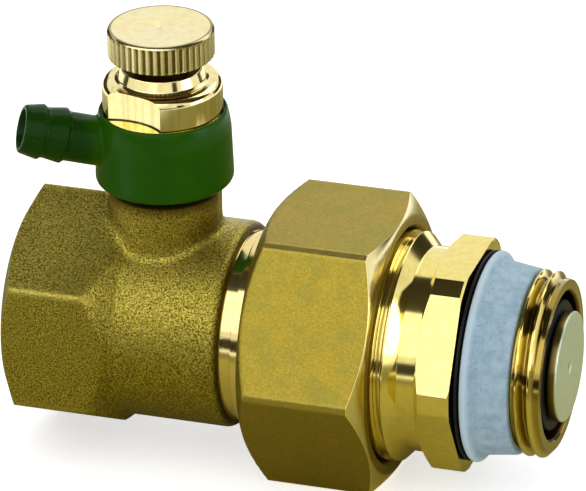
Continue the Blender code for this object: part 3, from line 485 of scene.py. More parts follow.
# %% Turned brass, for each of the two axes
def turned_brass(name, along, tint=(0.92, 0.78, 0.27), shade=(0.84, 0.66, 0.18), gloss=0.07):
    finish = Finish(name, metallic=1.0)
    stretch = (1.0, 0.015, 0.015) if along == "x" else (0.015, 0.015, 1.0)
    marks = finish.noise(11.0, detail=3.0, stretch=stretch, roughness=0.7)
    cloud = finish.noise(0.9, detail=3.0, shift=6.0)
    colour = finish.mix(finish.step(cloud, 0.35, 0.7) * 0.6, tint, shade)
    x, y, z = finish.split(finish.mm)
    if along == "x":
        across = finish.maths("SQRT", y ** 2 + (z - MAIN_Z / MM) ** 2)
        # Painted shade: the bore and the parts inside it are painted dark.
        recess_shade = 1 - finish.step(across, 10.75, 10.85)
        on_thread = finish.step(x, MALE_START / MM, MALE_START / MM + 0.2)
        # Painted shade: the male thread is painted darker, with its roots darkest.
        root = 1 - finish.step(across, PIPE_THREAD_R / MM - 0.9, PIPE_THREAD_R / MM - 0.2)
        thread = finish.mix(root, (0.80, 0.64, 0.20), (0.38, 0.28, 0.06))
        colour = finish.mix(on_thread, colour, thread)
    else:
        across = finish.maths("SQRT", y ** 2 + (x - DRAIN_X / MM) ** 2)
        streaks = finish.noise(1.1, detail=3.0, stretch=(1.0, 1.0, 0.03), shift=21.0)
        beyond_flats = finish.step(across, HEAD_FLATS / MM / 2 - 0.1, HEAD_FLATS / MM / 2 - 0.03)
        streaks = finish.step(streaks, 0.45, 0.70) * beyond_flats
        colour = finish.mix(streaks * 0.5, colour, (0.52, 0.45, 0.16))
        # Painted shade: the boss's top and the spindle under the knob are painted dark.
        recess_shade = finish.step(z, BOSS_TOP / MM - 0.04, BOSS_TOP / MM) - finish.step(
            z, KNOB_UNDER / MM, KNOB_UNDER / MM + 0.15,
        )
        # Painted shade: the floors between the knurl's ribs are painted dark.
        rib_foot = 1 - finish.step(across, KNOB_R / MM - 0.36, KNOB_R / MM - 0.06)
        ribs = finish.step(across, KNOB_R / MM - 0.7, KNOB_R / MM - 0.5) * rib_foot
        ribs = ribs * finish.step(z, KNOB_UNDER / MM, KNOB_UNDER / MM + 0.2)
        colour = finish.mix(ribs * 0.8, colour, (0.20, 0.15, 0.04))
    return finish.set(
        Base_Color=finish.mix(recess_shade, colour, (0.12, 0.065, 0.015)),
        Roughness=gloss + marks * 0.06 + cloud * 0.04 + recess_shade * 0.25,
        Normal=finish.bump(marks, 0.0004),
    )


# %% [markdown]
# ## Rubber, plastic, fibre and spring steel
#
# The sealing ring is a pale blue-grey plastic, a little cloudy, with a paler
# band painted along its round lip as a painted highlight. The hose collar is
# glass-filled green nylon: satin, with a clear gloss where the mould was
# polished. Rubber is nearly black and dull. All four get a faint unevenness,
# because nothing moulded is quite flat.

# %% Moulded and drawn finishes
def seal_plastic():
    finish = Finish("seal_plastic", ior=1.45)
    x, y, z = finish.split(finish.mm)
    across = finish.maths("SQRT", y ** 2 + (z - MAIN_Z / MM) ** 2)
    # Painted highlight: the outer part of the lip is painted paler.
    lip = finish.step(across, SEAL_R / MM + 0.15, SEAL_LIP_R / MM - 0.1)
    cloud = finish.noise(0.55, detail=4.0, roughness=0.65)
    spots = finish.step(finish.noise(2.1, detail=2.0, shift=8.0), 0.60, 0.72)
    base = finish.mix(finish.step(cloud, 0.3, 0.7), (0.31, 0.46, 0.56), (0.45, 0.60, 0.70))
    spotted = finish.mix(spots * 0.6, base, (0.22, 0.34, 0.43))
    return finish.set(
        Base_Color=finish.mix(lip * 0.8, spotted, (0.60, 0.74, 0.84)),
        Roughness=0.42 + cloud * 0.2,
        Normal=finish.bump(finish.noise(3.0, detail=3.0), 0.02),
        Subsurface_Weight=0.15,
        Subsurface_Scale=1.0 * MM,
    )


def green_plastic():
    finish = Finish("green_plastic", ior=1.5, specular=0.10)
    cloud = finish.noise(0.25, detail=3.0)
    fine = finish.noise(4.0, detail=3.0, roughness=0.6)
    x, y, z = finish.split(finish.mm)
    from_drain = finish.maths("SQRT", y ** 2 + (x - DRAIN_X / MM) ** 2)
    # Painted shade: the hose tail is painted a darker green than the wall.
    tail = finish.step(from_drain, HOSE_WALL_R / MM, HOSE_WALL_R / MM + 2.6)
    wall = finish.mix(cloud, (0.011, 0.068, 0.0), (0.020, 0.098, 0.0))
    return finish.set(
        Base_Color=finish.mix(tail, wall, (0.007, 0.042, 0.001)),
        Roughness=0.17 + fine * 0.14,
        Normal=finish.bump(fine * 0.5 + finish.noise(0.6, shift=4.0) * 0.5, 0.02),
    )


def black_rubber():
    finish = Finish("black_rubber", ior=1.45, specular=0.2)
    fine = finish.noise(5.0, detail=3.0)
    return finish.set(
        Base_Color=finish.mix(fine, (0.006, 0.006, 0.007), (0.018, 0.018, 0.020)),
        Roughness=0.45 + fine * 0.2,
        Normal=finish.bump(fine, 0.01),
    )


def gasket_fibre():
    finish = Finish("gasket_fibre", ior=1.45)
    fibres = finish.noise(4.0, detail=5.0, stretch=(3.0, 1.0, 0.6), roughness=0.7)
    return finish.set(
        Base_Color=finish.mix(fibres, (0.09, 0.13, 0.10), (0.22, 0.27, 0.22)),
        Roughness=0.75 + fibres * 0.15,
        Normal=finish.bump(fibres, 0.03),
    )


def spring_steel():
    finish = Finish("spring_steel", metallic=1.0)
    drawn = finish.noise(6.0, detail=3.0, roughness=0.7)
    return finish.set(
        Base_Color=finish.mix(drawn, (0.48, 0.47, 0.46), (0.66, 0.65, 0.64)),
        Roughness=0.22 + drawn * 0.15,
        Normal=finish.bump(drawn, 0.006),
    )


# %% [markdown]
# ## Threads and knurls with Geometry Nodes
#
# A thread is a rule, not a shape: the groove's depth depends only on how far
# along and how far round the axis a point is. So one tree cuts every thread
# here. It takes a turned mesh with closely spaced rows, works out the phase of
# the helix at each vertex, and pulls the vertex in to the thread's profile
# where it stands proud of it. The ends run out by a fade.
#
# A straight knurl follows the same idea with the angle alone: forty-four
# grooves round the rim, each pulled in by a rounded wave that fades out just
# below the top.

# %% Named inputs and modifiers for a tree
class FormTree(Graph):
    """A Geometry Nodes tree with named inputs."""

    def __init__(self, name):
        super().__init__(bpy.data.node_groups.new(name, "GeometryNodeTree"))
        self.tree.interface.new_socket("Geometry", in_out="INPUT", socket_type="NodeSocketGeometry")
        self.tree.interface.new_socket("Geometry", in_out="OUTPUT", socket_type="NodeSocketGeometry")
        self.entry = self.tree.nodes.new("NodeGroupInput")
        self.exit = self.tree.nodes.new("NodeGroupOutput")
        self.geometry = Wire(self, self.entry.outputs["Geometry"])

    def value(self, name, default):
        kind = "NodeSocketInt" if isinstance(default, int) else "NodeSocketFloat"
        socket = self.tree.interface.new_socket(name, in_out="INPUT", socket_type=kind)
        socket.default_value = default
        return Wire(self, self.entry.outputs[name])

    def close(self, geometry):
        """End the tree: real geometry with the piece's material."""
        socket = self.tree.interface.new_socket(
            "Material", in_out="INPUT", socket_type="NodeSocketMaterial",
        )
        real = self.make("GeometryNodeRealizeInstances", None, {0: geometry})
        painted = self.make(
            "GeometryNodeSetMaterial", None,
            {"Geometry": real, "Material": Wire(self, self.entry.outputs[socket.name])},
        )
        self.tree.links.new(painted.socket, self.exit.inputs["Geometry"])

    def run_on(self, obj, finish, **sizes):
        """Run the tree on an object and keep the result as a plain mesh."""
        step = obj.modifiers.new(self.tree.name, "NODES")
        step.node_group = self.tree
        sizes["Material"] = finish
        for item in self.tree.interface.items_tree:
            if item.item_type == "SOCKET" and item.in_out == "INPUT":
                key = item.name.replace(" ", "_")
                if key in sizes:
                    step[item.identifier] = sizes[key]
        obj.update_tag()
        return settled(obj)


def polar(tree):
    """Angle in turns, radius and height of each vertex about local Z."""
    x, y, z = tree.split(tree.make("GeometryNodeInputPosition"))
    radius = tree.maths("SQRT", x ** 2 + y ** 2)
    angle = tree.maths("ARCTAN2", y, x) / (2 * pi)
    return angle, radius, z


def pulled_in(tree, geometry, radius, limit):
    """Move vertices towards the axis until they are within the limit."""
    share = tree.maths("MINIMUM", radius, limit) / tree.maths("MAXIMUM", radius, 1e-6)
    scale = tree.make("ShaderNodeCombineXYZ", None, {0: share, 1: share, 2: 1.0})
    place = tree.make(
        "ShaderNodeVectorMath", {"operation": "MULTIPLY"},
        {0: tree.make("GeometryNodeInputPosition"), 1: scale},
    )
    return tree.make("GeometryNodeSetPosition", None, {"Geometry": geometry, "Position": place})


# %% The thread tree
def thread_tree():
    tree = FormTree("helical_thread")
    pitch = tree.value("Pitch", 1.8 * MM)
    major = tree.value("Major Radius", 13.0 * MM)
    depth = tree.value("Depth", 1.1 * MM)
    start = tree.value("Start", 0.0)
    end = tree.value("End", 1.0 * MM)
    fade = tree.value("Run Out", 0.5 * MM)
    phase = tree.value("Phase", 0.0)
    angle, radius, height = polar(tree)
    turn = tree.maths("FRACT", height / pitch - angle + phase)
    wave = tree.maths("ABSOLUTE", turn * 2 - 1)
    profile = tree.make(
        "ShaderNodeMapRange", None, {"Value": wave, "From Min": 0.14, "From Max": 0.88},
    )
    inside = tree.maths("MINIMUM", height - start, end - height) / fade
    inside = tree.maths("MINIMUM", tree.maths("MAXIMUM", inside, 0.0), 1.0)
    in_range = tree.maths("GREATER_THAN", inside, 0.0)
    limit = major - depth * profile * inside + (1 - in_range) * 1.0
    tree.close(pulled_in(tree, tree.geometry, radius, limit))
    return tree


# %% The knurl tree
def knurl_tree():
    tree = FormTree("straight_knurl")
    ribs = tree.value("Ribs", 40)
    rim = tree.value("Rim Radius", 7.5 * MM)
    depth = tree.value("Depth", 0.35 * MM)
    top = tree.value("Top", 1.0 * MM)
    fade = tree.value("Run Out", 0.4 * MM)
    angle, radius, height = polar(tree)
    wave = tree.maths("ABSOLUTE", tree.maths("FRACT", angle * ribs) * 2 - 1)
    groove = tree.step(wave, 0.30, 1.0)
    near_rim = tree.maths("GREATER_THAN", radius, rim - 2 * depth)
    below_top = tree.step(top - height, 0.0, fade)
    limit = rim - depth * groove * below_top + (1 - near_rim) * 1.0
    tree.close(pulled_in(tree, tree.geometry, radius, limit))
    return tree


THREAD = thread_tree()
KNURL = knurl_tree()
print("trees:", THREAD.tree.name, KNURL.tree.name)

# %% [markdown]
# ## The forged body
#
# Forging dies can't make a sharp inner corner, so hexagon, barrel and neck
# flow into each other. Modelling such fillets edge by edge is slow. Instead
# the plain forms are laid into each other and remeshed into one skin with a
# fine voxel grid, and a few rounds of smoothing melt the corners as hot metal
# fills a die. What was machined afterwards, the faces, bores, spigot and
# threads, is then cut crisply into that skin.

# %% Sizes of the body
SHOULDER_FOOT = DRAIN_X - 3.7 * MM
SHOULDER_SLOPE = 1.15
BARREL_R = 14.9 * MM
BARREL_END = DRAIN_X + 12.0 * MM
BARREL_ROUND = 1.3 * MM
RING_START = BARREL_END + 1.75 * MM
NECK_R = 8.04 * MM
FACE_R = 15.15 * MM
SOCKET_R = 12.1 * MM
SOCKET_MOUTH = 13.7 * MM
SOCKET_END = BODY_START + 16.2 * MM
WATERWAY_R = 9.5 * MM
RELIEF_R = 13.6 * MM
TURNED_FROM = RING_START - 0.35 * MM
SPIGOT_R = 14.5 * MM
SNAP_START, SNAP_END = reach("nut_snap_ring", "x")
PIPE_PITCH = 25.4 * MM / 14
PIPE_THREAD_R = 13.22 * MM
PIPE_THREAD_DEPTH = 1.16 * MM


# %% The skin of the forging
def shouldered_hexagon():
    """Socket hexagon, with a cone where it comes down to the barrel."""
    far = BODY_FLATS / 2 / cos(pi / 6) + GAP
    bar = hexagon_bar(BODY_FLATS, BODY_START - 1 * MM, SHOULDER_FOOT + GAP, 0.0)
    cone = [
        (BODY_START - 2 * MM, 0.0),
        (BODY_START - 2 * MM, far),
        (SHOULDER_FOOT - (far - BARREL_R) * SHOULDER_SLOPE, far),
        (SHOULDER_FOOT, BARREL_R),
        (SHOULDER_FOOT, 0.0),
    ]
    blank = solid("body_casting", bar, ON_MAIN)
    return combine(blank, solid("shoulder", spun(cone, 192), ON_MAIN), "INTERSECT")


def forging_skin():
    """Hexagon, barrel and neck melted into one skin with cast fillets."""
    skin = shouldered_hexagon()
    barrel = [(BODY_START / 2 + DRAIN_X / 2, 0.0), (BODY_START / 2 + DRAIN_X / 2, BARREL_R)]
    barrel += [(BARREL_END, BARREL_R), (BARREL_END, 0.0)]
    neck = [(MAIN_Z, 0.0), (MAIN_Z, NECK_R), (NECK_TOP + 1 * MM, NECK_R), (NECK_TOP + 1 * MM, 0.0)]
    combine(skin, solid("barrel", spun(barrel), ON_MAIN), "UNION")
    combine(skin, solid("neck", spun(neck, 96), ON_DRAIN), "UNION")
    remesh = skin.modifiers.new("skin", "REMESH")
    remesh.mode = "VOXEL"
    remesh.voxel_size = 0.36 * MM
    settled(skin)
    soft = skin.vertex_groups.new(name="soft")
    for vertex in skin.data.vertices:
        x, y, z = vertex.co
        from_neck = sqrt((x - DRAIN_X) ** 2 + y ** 2) - NECK_R
        foot = abs(from_neck) < 3 * MM and MAIN_Z + 7 * MM < z < MAIN_Z + 18 * MM
        soft.add([vertex.index], 1.0 if foot else 0.22, "REPLACE")
    smooth = skin.modifiers.new("melt", "SMOOTH")
    smooth.factor = 0.5
    smooth.iterations = 26
    smooth.vertex_group = "soft"
    return settled(skin)


# %% Machining the body
def threaded_tool(name, start, end, radius, where, phase=0.0):
    """A screwed plug, used to cut a female thread."""
    outline = [(start, 0.0), *rows(start, end, radius, 0.12 * MM), (end, 0.0)]
    plug = solid(name, spun(outline, 96), Matrix.Identity(4))
    THREAD.run_on(
        plug, None, Pitch=PIPE_PITCH, Major_Radius=radius, Depth=PIPE_THREAD_DEPTH,
        Start=start, End=end, Run_Out=0.6 * MM, Phase=phase,
    )
    plug.data.transform(where)
    return plug


def machined_body():
    body = forging_skin()
    chamfer = tan(radians(30.0))
    far = 24 * MM
    envelope = [
        (BODY_START, 0.0),
        (BODY_START, FACE_R),
        (BODY_START + (far - FACE_R) * chamfer, far),
        (BARREL_END - BARREL_ROUND, far),
        *arc((BARREL_END - BARREL_ROUND, BARREL_R - BARREL_ROUND), BARREL_ROUND, 90.0, 0.0),
        (BARREL_END, 0.0),
    ]
    collar_side = [
        (MAIN_Z - far, 0.0), (MAIN_Z - far, 40 * MM), (MAIN_Z + 17 * MM, 40 * MM),
        (NECK_TOP, NECK_R * 1.6), (NECK_TOP, 0.0),
    ]
    combine(body, solid("ends", spun(envelope, 192), ON_MAIN), "INTERSECT")
    combine(body, solid("neck_face", spun(collar_side, 64), ON_DRAIN), "INTERSECT")
    spigot = eased([
        (BARREL_END - 3 * MM, 0.0),
        (BARREL_END - 3 * MM, RELIEF_R),
        (RING_START, RELIEF_R),
        (RING_START, SPIGOT_R),
        (SNAP_START - GAP, SPIGOT_R),
        (SNAP_START - GAP, RELIEF_R - 0.4 * MM),
        (SNAP_END + GAP, RELIEF_R - 0.4 * MM),
        (SNAP_END + GAP, SPIGOT_R),
        (SPIGOT_END, SPIGOT_R),
        (SPIGOT_END, 0.0),
    ], 0.12 * MM)
    combine(body, solid("spigot", spun(spigot, 160), ON_MAIN), "UNION")
    pusher_start = reach("push_spider", "x")[0]
    bore = [
        (BODY_START - GAP, 0.0),
        (BODY_START - GAP, SOCKET_R + 1.8 * MM),
        (BODY_START + 1.5 * MM, SOCKET_R),
        (SOCKET_END, SOCKET_R),
        (SOCKET_END + 1.2 * MM, WATERWAY_R),
        (pusher_start - GAP, WATERWAY_R),
        (pusher_start - GAP, WATERWAY_R + 1.0 * MM),
        (SPIGOT_END + GAP, WATERWAY_R + 1.0 * MM),
        (SPIGOT_END + GAP, 0.0),
    ]
    combine(body, solid("bore", spun(bore, 128), ON_MAIN), "DIFFERENCE")
    tap = threaded_tool(
        "tap", BODY_START - GAP, SOCKET_END - 1.5 * MM, PIPE_THREAD_R, ON_MAIN,
    )
    combine(body, tap, "DIFFERENCE")
    shaft = [(MAIN_Z, 0.0), (MAIN_Z, 5.6 * MM), (NECK_TOP + GAP, 5.6 * MM), (NECK_TOP + GAP, 0.0)]
    return combine(body, solid("neck_bore", spun(shaft, 64), ON_DRAIN), "DIFFERENCE")


NUT_FACE_R = 18.7 * MM
NUT_FACE_SLOPE = tan(radians(60.0))
SEAL_LIP_R = reach("thread_seal_ring", "z")[1] - MAIN_Z
SEAL_R = 13.9 * MM
FORGED = forged_brass()
dress(machined_body(), FORGED, "body", "forged_brass", "valve_body", crease=32.0)

# %% [markdown]
# ## The union nut
#
# The nut's left end is still as forged, with a blunt cone under soft corners.
# The right end was faced and chamfered at thirty degrees, which draws the
# curved edges where the cone leaves each flat. It is made like the body: a
# melted skin first, then the crisp cuts.

# %% Forging and machining the nut
def machined_nut():
    far = 23 * MM
    cone_slope = 0.58
    cone_r = 18.1 * MM
    nut = solid("forged_nut", hexagon_bar(NUT_FLATS, NUT_START, NUT_END + 1 * MM, pi / 6), ON_MAIN)
    envelope = [
        (NUT_START, 0.0),
        (NUT_START, cone_r),
        (NUT_START + (far - cone_r) * cone_slope, far),
        (NUT_END + 2 * MM, far),
        (NUT_END + 2 * MM, 0.0),
    ]
    combine(nut, solid("forged_end", spun(envelope, 192), ON_MAIN), "INTERSECT")
    remesh = nut.modifiers.new("skin", "REMESH")
    remesh.mode = "VOXEL"
    remesh.voxel_size = 0.33 * MM
    smooth = nut.modifiers.new("melt", "SMOOTH")
    smooth.factor = 0.5
    smooth.iterations = 4
    settled(nut)
    corner_r = reach("union_nut", "y")[1]
    faced = [
        (NUT_START - 1 * MM, 0.0),
        (NUT_START - 1 * MM, corner_r),
        (NUT_END - (corner_r - NUT_FACE_R) / NUT_FACE_SLOPE, corner_r),
        (NUT_END, NUT_FACE_R),
        (NUT_END, 0.0),
    ]
    combine(nut, solid("faced_end", spun(faced, 384), ON_MAIN), "INTERSECT")
    flange_end = SNAP_START - GAP
    bore = [
        (NUT_START - GAP, 0.0),
        (NUT_START - GAP, SPIGOT_R + GAP),
        (flange_end, SPIGOT_R + GAP),
        (flange_end, UNION_THREAD_R),
        (NUT_END - 0.5 * MM, UNION_THREAD_R),
        (NUT_END + GAP, UNION_THREAD_R + 0.5 * MM),
        (NUT_END + GAP, 0.0),
    ]
    return combine(nut, solid("nut_bore", spun(bore, 160), ON_MAIN), "DIFFERENCE")


UNION_THREAD_R = 16.9 * MM
dress(machined_nut(), nut_brass(), "nut", "nut_brass", "union_nut", crease=32.0)

# %% [markdown]
# ## The nipple
#
# The nipple is one long turned part. From the left it has the union thread,
# which mostly hides in the nut, a collar and a waist, a hexagon whose corners
# the lathe has turned down to a band, and the male pipe thread at the right
# end. Both threads are cut by the thread tree into the spun mesh, and the
# hexagon is set round it.

# %% Sizes of the nipple
NIPPLE_THREAD_R = 16.45 * MM
THREAD_SHOWN_END = NUT_END + 0.3 * MM
RUNOUT_R = 15.2 * MM
COLLAR_START = THREAD_SHOWN_END + 1.35 * MM
COLLAR_R = 16.45 * MM
UNION_PITCH = 25.4 * MM / 11
HEX_START = COLLAR_START + 4.5 * MM
HEX_FLATS = 30.3 * MM
HEX_CORNER_R = 16.7 * MM
WAIST_R = 14.65 * MM
MALE_RELIEF_R = 11.9 * MM
MALE_TIP_R = 12.24 * MM
MALE_PHASE = 0.563 + DRAIN_X / PIPE_PITCH


# %% Turning the nipple
def turned_nipple(finish):
    seat_x = reach("stem_guide", "x")[1] + 4.35 * MM
    inside = [
        (MALE_END, 10.9 * MM),
        (MALE_END - 0.4 * MM, 10.6 * MM),
        (seat_x, 10.6 * MM),
        (seat_x, 7.4 * MM),
        (reach("stem_guide", "x")[1] + GAP, 7.4 * MM),
        (reach("stem_guide", "x")[1] + GAP, 9.5 * MM),
        (NIPPLE_START, 9.5 * MM),
    ]
    outside = [
        (NIPPLE_START, NIPPLE_THREAD_R - 0.9 * MM),
        (NIPPLE_START + 0.9 * MM, NIPPLE_THREAD_R),
        *rows(NIPPLE_START + 1.0 * MM, THREAD_SHOWN_END - 0.1 * MM, NIPPLE_THREAD_R, 0.13 * MM),
        *eased([
            (THREAD_SHOWN_END - 0.1 * MM, NIPPLE_THREAD_R),
            (THREAD_SHOWN_END, NIPPLE_THREAD_R),
            (THREAD_SHOWN_END, RUNOUT_R),
            (COLLAR_START - 0.35 * MM, RUNOUT_R),
            (COLLAR_START, COLLAR_R),
            (COLLAR_START + 0.2 * MM, COLLAR_R),
            (COLLAR_START + 1.85 * MM, WAIST_R),
            (HEX_START - 0.1 * MM, WAIST_R),
        ], 0.16 * MM)[1:-1],
        *rows(COLLAR_START + 2.3 * MM, HEX_START + 3 * MM, WAIST_R, 0.3 * MM),
        (HEX_START + 3 * MM, MALE_RELIEF_R),
        (MALE_START, MALE_RELIEF_R),
        (MALE_START + 0.15 * MM, PIPE_THREAD_R),
        *rows(MALE_START + 0.2 * MM, MALE_END - 0.75 * MM, PIPE_THREAD_R, 0.09 * MM),
        *rows(MALE_END - 0.7 * MM, MALE_END, MALE_TIP_R, 0.1 * MM)[7:],
    ]
    nipple = solid("nipple_turned", spun(outside + inside, 160), Matrix.Identity(4))
    THREAD.run_on(
        nipple, finish, Pitch=PIPE_PITCH, Major_Radius=PIPE_THREAD_R, Depth=PIPE_THREAD_DEPTH,
        Start=MALE_START, End=MALE_END, Run_Out=0.25 * MM, Phase=MALE_PHASE,
    )
    THREAD.run_on(
        nipple, finish, Pitch=UNION_PITCH, Major_Radius=NIPPLE_THREAD_R, Depth=1.45 * MM,
        Start=NIPPLE_START, End=THREAD_SHOWN_END - 0.7 * MM, Run_Out=0.8 * MM, Phase=0.2,
    )
    nipple.data.transform(ON_MAIN)
    bar = solid("hexagon", hexagon_bar(HEX_FLATS, HEX_START, HEX_END, pi / 6), ON_MAIN)
    chamfer_r = 15.0 * MM
    envelope = [
        (HEX_START, 0.0),
        (HEX_START, chamfer_r),
        (HEX_START + (HEX_CORNER_R - chamfer_r) * tan(radians(30.0)), HEX_CORNER_R),
        (HEX_END - 0.25 * MM, HEX_CORNER_R),
        (HEX_END, HEX_CORNER_R - 0.4 * MM),
        (HEX_END, 0.0),
    ]
    combine(bar, solid("hexagon_turning", spun(envelope, 240), ON_MAIN), "INTERSECT")
    bore = [(HEX_START - 1 * MM, 0.0), (HEX_START - 1 * MM, 11 * MM), (HEX_END + 1 * MM, 11 * MM)]
    combine(bar, solid("hexagon_bore", spun([*bore, (HEX_END + 1 * MM, 0.0)], 64), ON_MAIN), "DIFFERENCE")
    return combine(nipple, bar, "UNION")


BRIGHT_MAIN = turned_brass("turned_brass_main", "x")
BRIGHT_DRAIN = turned_brass("turned_brass_drain", "z", tint=(0.93, 0.81, 0.40), shade=(0.86, 0.71, 0.28))
dress(turned_nipple(BRIGHT_MAIN), BRIGHT_MAIN, "nipple", "turned_brass", "nipple")

# %% [markdown]
# ## Rings on the nipple
#
# A thin black ring sits behind the hexagon, and a pale plastic sealing ring
# leans against it. Its lip is round and stands out, the rest tapers down to
# the thread, so that it wedges into the mouth of the vessel's port.

# %% Gasket and sealing ring
RUBBER = black_rubber()


def plain_ring(name, node, inner, outer, axis, where, ease=0.12):
    """A ring of square section with eased edges, as long as its solid."""
    start, end = reach(node, axis)
    section = eased([
        (start, (inner + outer) / 2), (start, outer), (end, outer), (end, inner),
        (start, inner), (start, (inner + outer) / 2),
    ], ease * MM)
    return solid(name, spun(section[:-1], 128), where)


hex_gasket = plain_ring(
    "hexagon_ring", "hexagon_gasket", MALE_RELIEF_R + GAP, 15.0 * MM, "x", ON_MAIN,
)
dress(hex_gasket, RUBBER, "nipple", "black_rubber", "hexagon_gasket")


def sealing_ring():
    start, end = reach("thread_seal_ring", "x")
    inner = MALE_RELIEF_R + GAP
    lip, rim = 0.45 * MM, 0.6 * MM
    foot = start + 3 * lip
    section = [(start, inner)]
    section += arc((start + lip, SEAL_LIP_R - lip), lip, 180.0, 40.0)
    section += arc((foot + 0.1 * MM, SEAL_R + 0.4 * MM), 0.4 * MM, 225.0, 265.0, 5)
    section += arc((end - rim, SEAL_R - 0.6 * MM - rim), rim, 85.0, 0.0)
    section += [(end, inner)]
    return solid("sealing_ring", spun(section, 192), ON_MAIN)


dress(sealing_ring(), seal_plastic(), "nipple", "pale_plastic", "thread_seal_ring", crease=50.0)

# %% [markdown]
# ## The poppet
#
# The round face at the tip is the poppet. A spring pulls its seal against a
# seat inside the nipple, and the pusher in the body holds it open while the
# union is together. Only the face and its edge show. The face was parted off
# on the lathe, so it carries rings and a small centre mark.

# %% Poppet, its seal and washer
POPPET_R = (reach("poppet", "y")[1] - reach("poppet", "y")[0]) / 2
STEM_R = 2.5 * MM


def poppet_face():
    finish = Finish("poppet_face", metallic=1.0)
    x, y, z = finish.split(finish.mm)
    across = finish.maths("SQRT", y ** 2 + (z - MAIN_Z / MM) ** 2)
    rings = finish.make(
        "ShaderNodeTexNoise", {"noise_dimensions": "1D"}, {"W": across, "Scale": 5.0, "Detail": 3.0},
    )
    cloud = finish.noise(0.7, detail=4.0)
    end_face = finish.step(x, reach("poppet", "x")[1] / MM - 0.35, reach("poppet", "x")[1] / MM - 0.15)
    pale = finish.mix(cloud, (0.64, 0.73, 0.60), (0.76, 0.86, 0.74))
    return finish.set(
        # Painted shade: all but the end face is painted dark brown, since the poppet's side sits in the
        # bore's shadow.
        Base_Color=finish.mix(end_face, (0.34, 0.25, 0.07), pale),
        Roughness=0.22 + end_face * 0.22 + rings * 0.12,
        Normal=finish.bump(rings, 0.008, under=finish.rounded_edges(0.1)),
    )


def turned_poppet():
    start, end = reach("poppet", "x")
    clip_start, clip_end = reach("stem_clip", "x")
    disc = end - 1.4 * MM
    outline = eased([
        (start, 0.0), (start, STEM_R), (clip_start - GAP, STEM_R), (clip_start - GAP, 1.9 * MM),
        (clip_end + GAP, 1.9 * MM), (clip_end + GAP, STEM_R), (disc, STEM_R),
        (disc, POPPET_R), (end, POPPET_R), (end, 1.1 * MM), (end - 0.25 * MM, 0.55 * MM),
        (end - 0.3 * MM, 0.0),
    ], 0.3 * MM)
    return solid("poppet_turned", spun(outline, 128), ON_MAIN)


dress(turned_poppet(), poppet_face(), "poppet", "turned_brass", "poppet")
seal = plain_ring("poppet_seal_ring", "poppet_seal", STEM_R + GAP, 9.3 * MM, "x", ON_MAIN, 0.3)
dress(seal, RUBBER, "poppet", "black_rubber", "poppet_seal")
washer = plain_ring("seal_washer", "seal_back_washer", STEM_R + GAP, 6.4 * MM, "x", ON_MAIN)
dress(washer, BRIGHT_MAIN, "poppet", "turned_brass", "seal_back_washer")

# %% [markdown]
# ## Spring, cup, clip and the two spiders
#
# These parts are inside, but the pusher can be seen through the socket, and
# the model is used from all sides. The spring follows a path, so Geometry
# Nodes sweeps its wire along a spiral. The spiders are a ring, a hub and
# three arms, and the arms are instanced round the axis.

# %% The spring tree
def spring_tree():
    tree = FormTree("coil_spring")
    turns = tree.value("Turns", 4.5)
    coil = tree.value("Coil Radius", 4.6 * MM)
    wire = tree.value("Wire Radius", 0.55 * MM)
    length = tree.value("Length", 7.0 * MM)
    start = tree.value("Start", 0.0)
    path = tree.make(
        "GeometryNodeCurveSpiral", None,
        {"Resolution": 40, "Rotations": turns, "Start Radius": coil, "End Radius": coil, "Height": length},
    )
    section = tree.make("GeometryNodeCurvePrimitiveCircle", None, {"Resolution": 12, "Radius": wire})
    swept = tree.make(
        "GeometryNodeCurveToMesh", None, {"Curve": path, "Profile Curve": section, "Fill Caps": True},
    )
    offset = tree.make("ShaderNodeCombineXYZ", None, {2: start})
    tree.close(tree.make("GeometryNodeSetPosition", None, {"Geometry": swept, "Offset": offset}))
    return tree


# %% The spider tree
def spider_tree():
    tree = FormTree("spider_arms")
    arms = tree.value("Arms", 3)
    inner = tree.value("Inner Radius", 2.0 * MM)
    outer = tree.value("Outer Radius", 9.0 * MM)
    width = tree.value("Width", 2.2 * MM)
    start = tree.value("Start", 0.0)
    end = tree.value("End", 4.0 * MM)
    size = tree.make("ShaderNodeCombineXYZ", None, {0: outer - inner, 1: width, 2: end - start})
    arm = tree.make("GeometryNodeMeshCube", None, {"Size": size})
    middle = tree.make("ShaderNodeCombineXYZ", None, {0: (inner + outer) / 2, 2: (start + end) / 2})
    placed = tree.make("GeometryNodeSetPosition", None, {"Geometry": arm, "Offset": middle})
    points = tree.make("GeometryNodePoints", None, {"Count": arms})
    turn = tree.make("GeometryNodeInputIndex") * (2 * pi) / arms + pi / 6
    spin = tree.make("ShaderNodeCombineXYZ", None, {2: turn})
    each = tree.make(
        "GeometryNodeInstanceOnPoints", None, {"Points": points, "Instance": placed, "Rotation": spin},
    )
    joined = tree.tree.nodes.new("GeometryNodeJoinGeometry")
    tree.tree.links.new(tree.geometry.socket, joined.inputs[0])
    tree.tree.links.new(each.socket, joined.inputs[0])
    tree.close(Wire(tree, joined.outputs[0]))
    return tree


SPRING = spring_tree()
SPIDER = spider_tree()
STEEL = spring_steel()


# %% Spring, cup and clip
def coil_spring():
    start, end = reach("poppet_spring", "x")
    wire = 0.55 * MM
    holder = solid("poppet_coil", bmesh.new(), Matrix.Identity(4))
    SPRING.run_on(
        holder, STEEL, Turns=4.5, Coil_Radius=4.6 * MM, Wire_Radius=wire,
        Length=end - start - 2 * wire, Start=start + wire,
    )
    holder.data.transform(ON_MAIN)
    return holder


dress(coil_spring(), STEEL, "poppet", "spring_steel", "poppet_spring", crease=60.0)


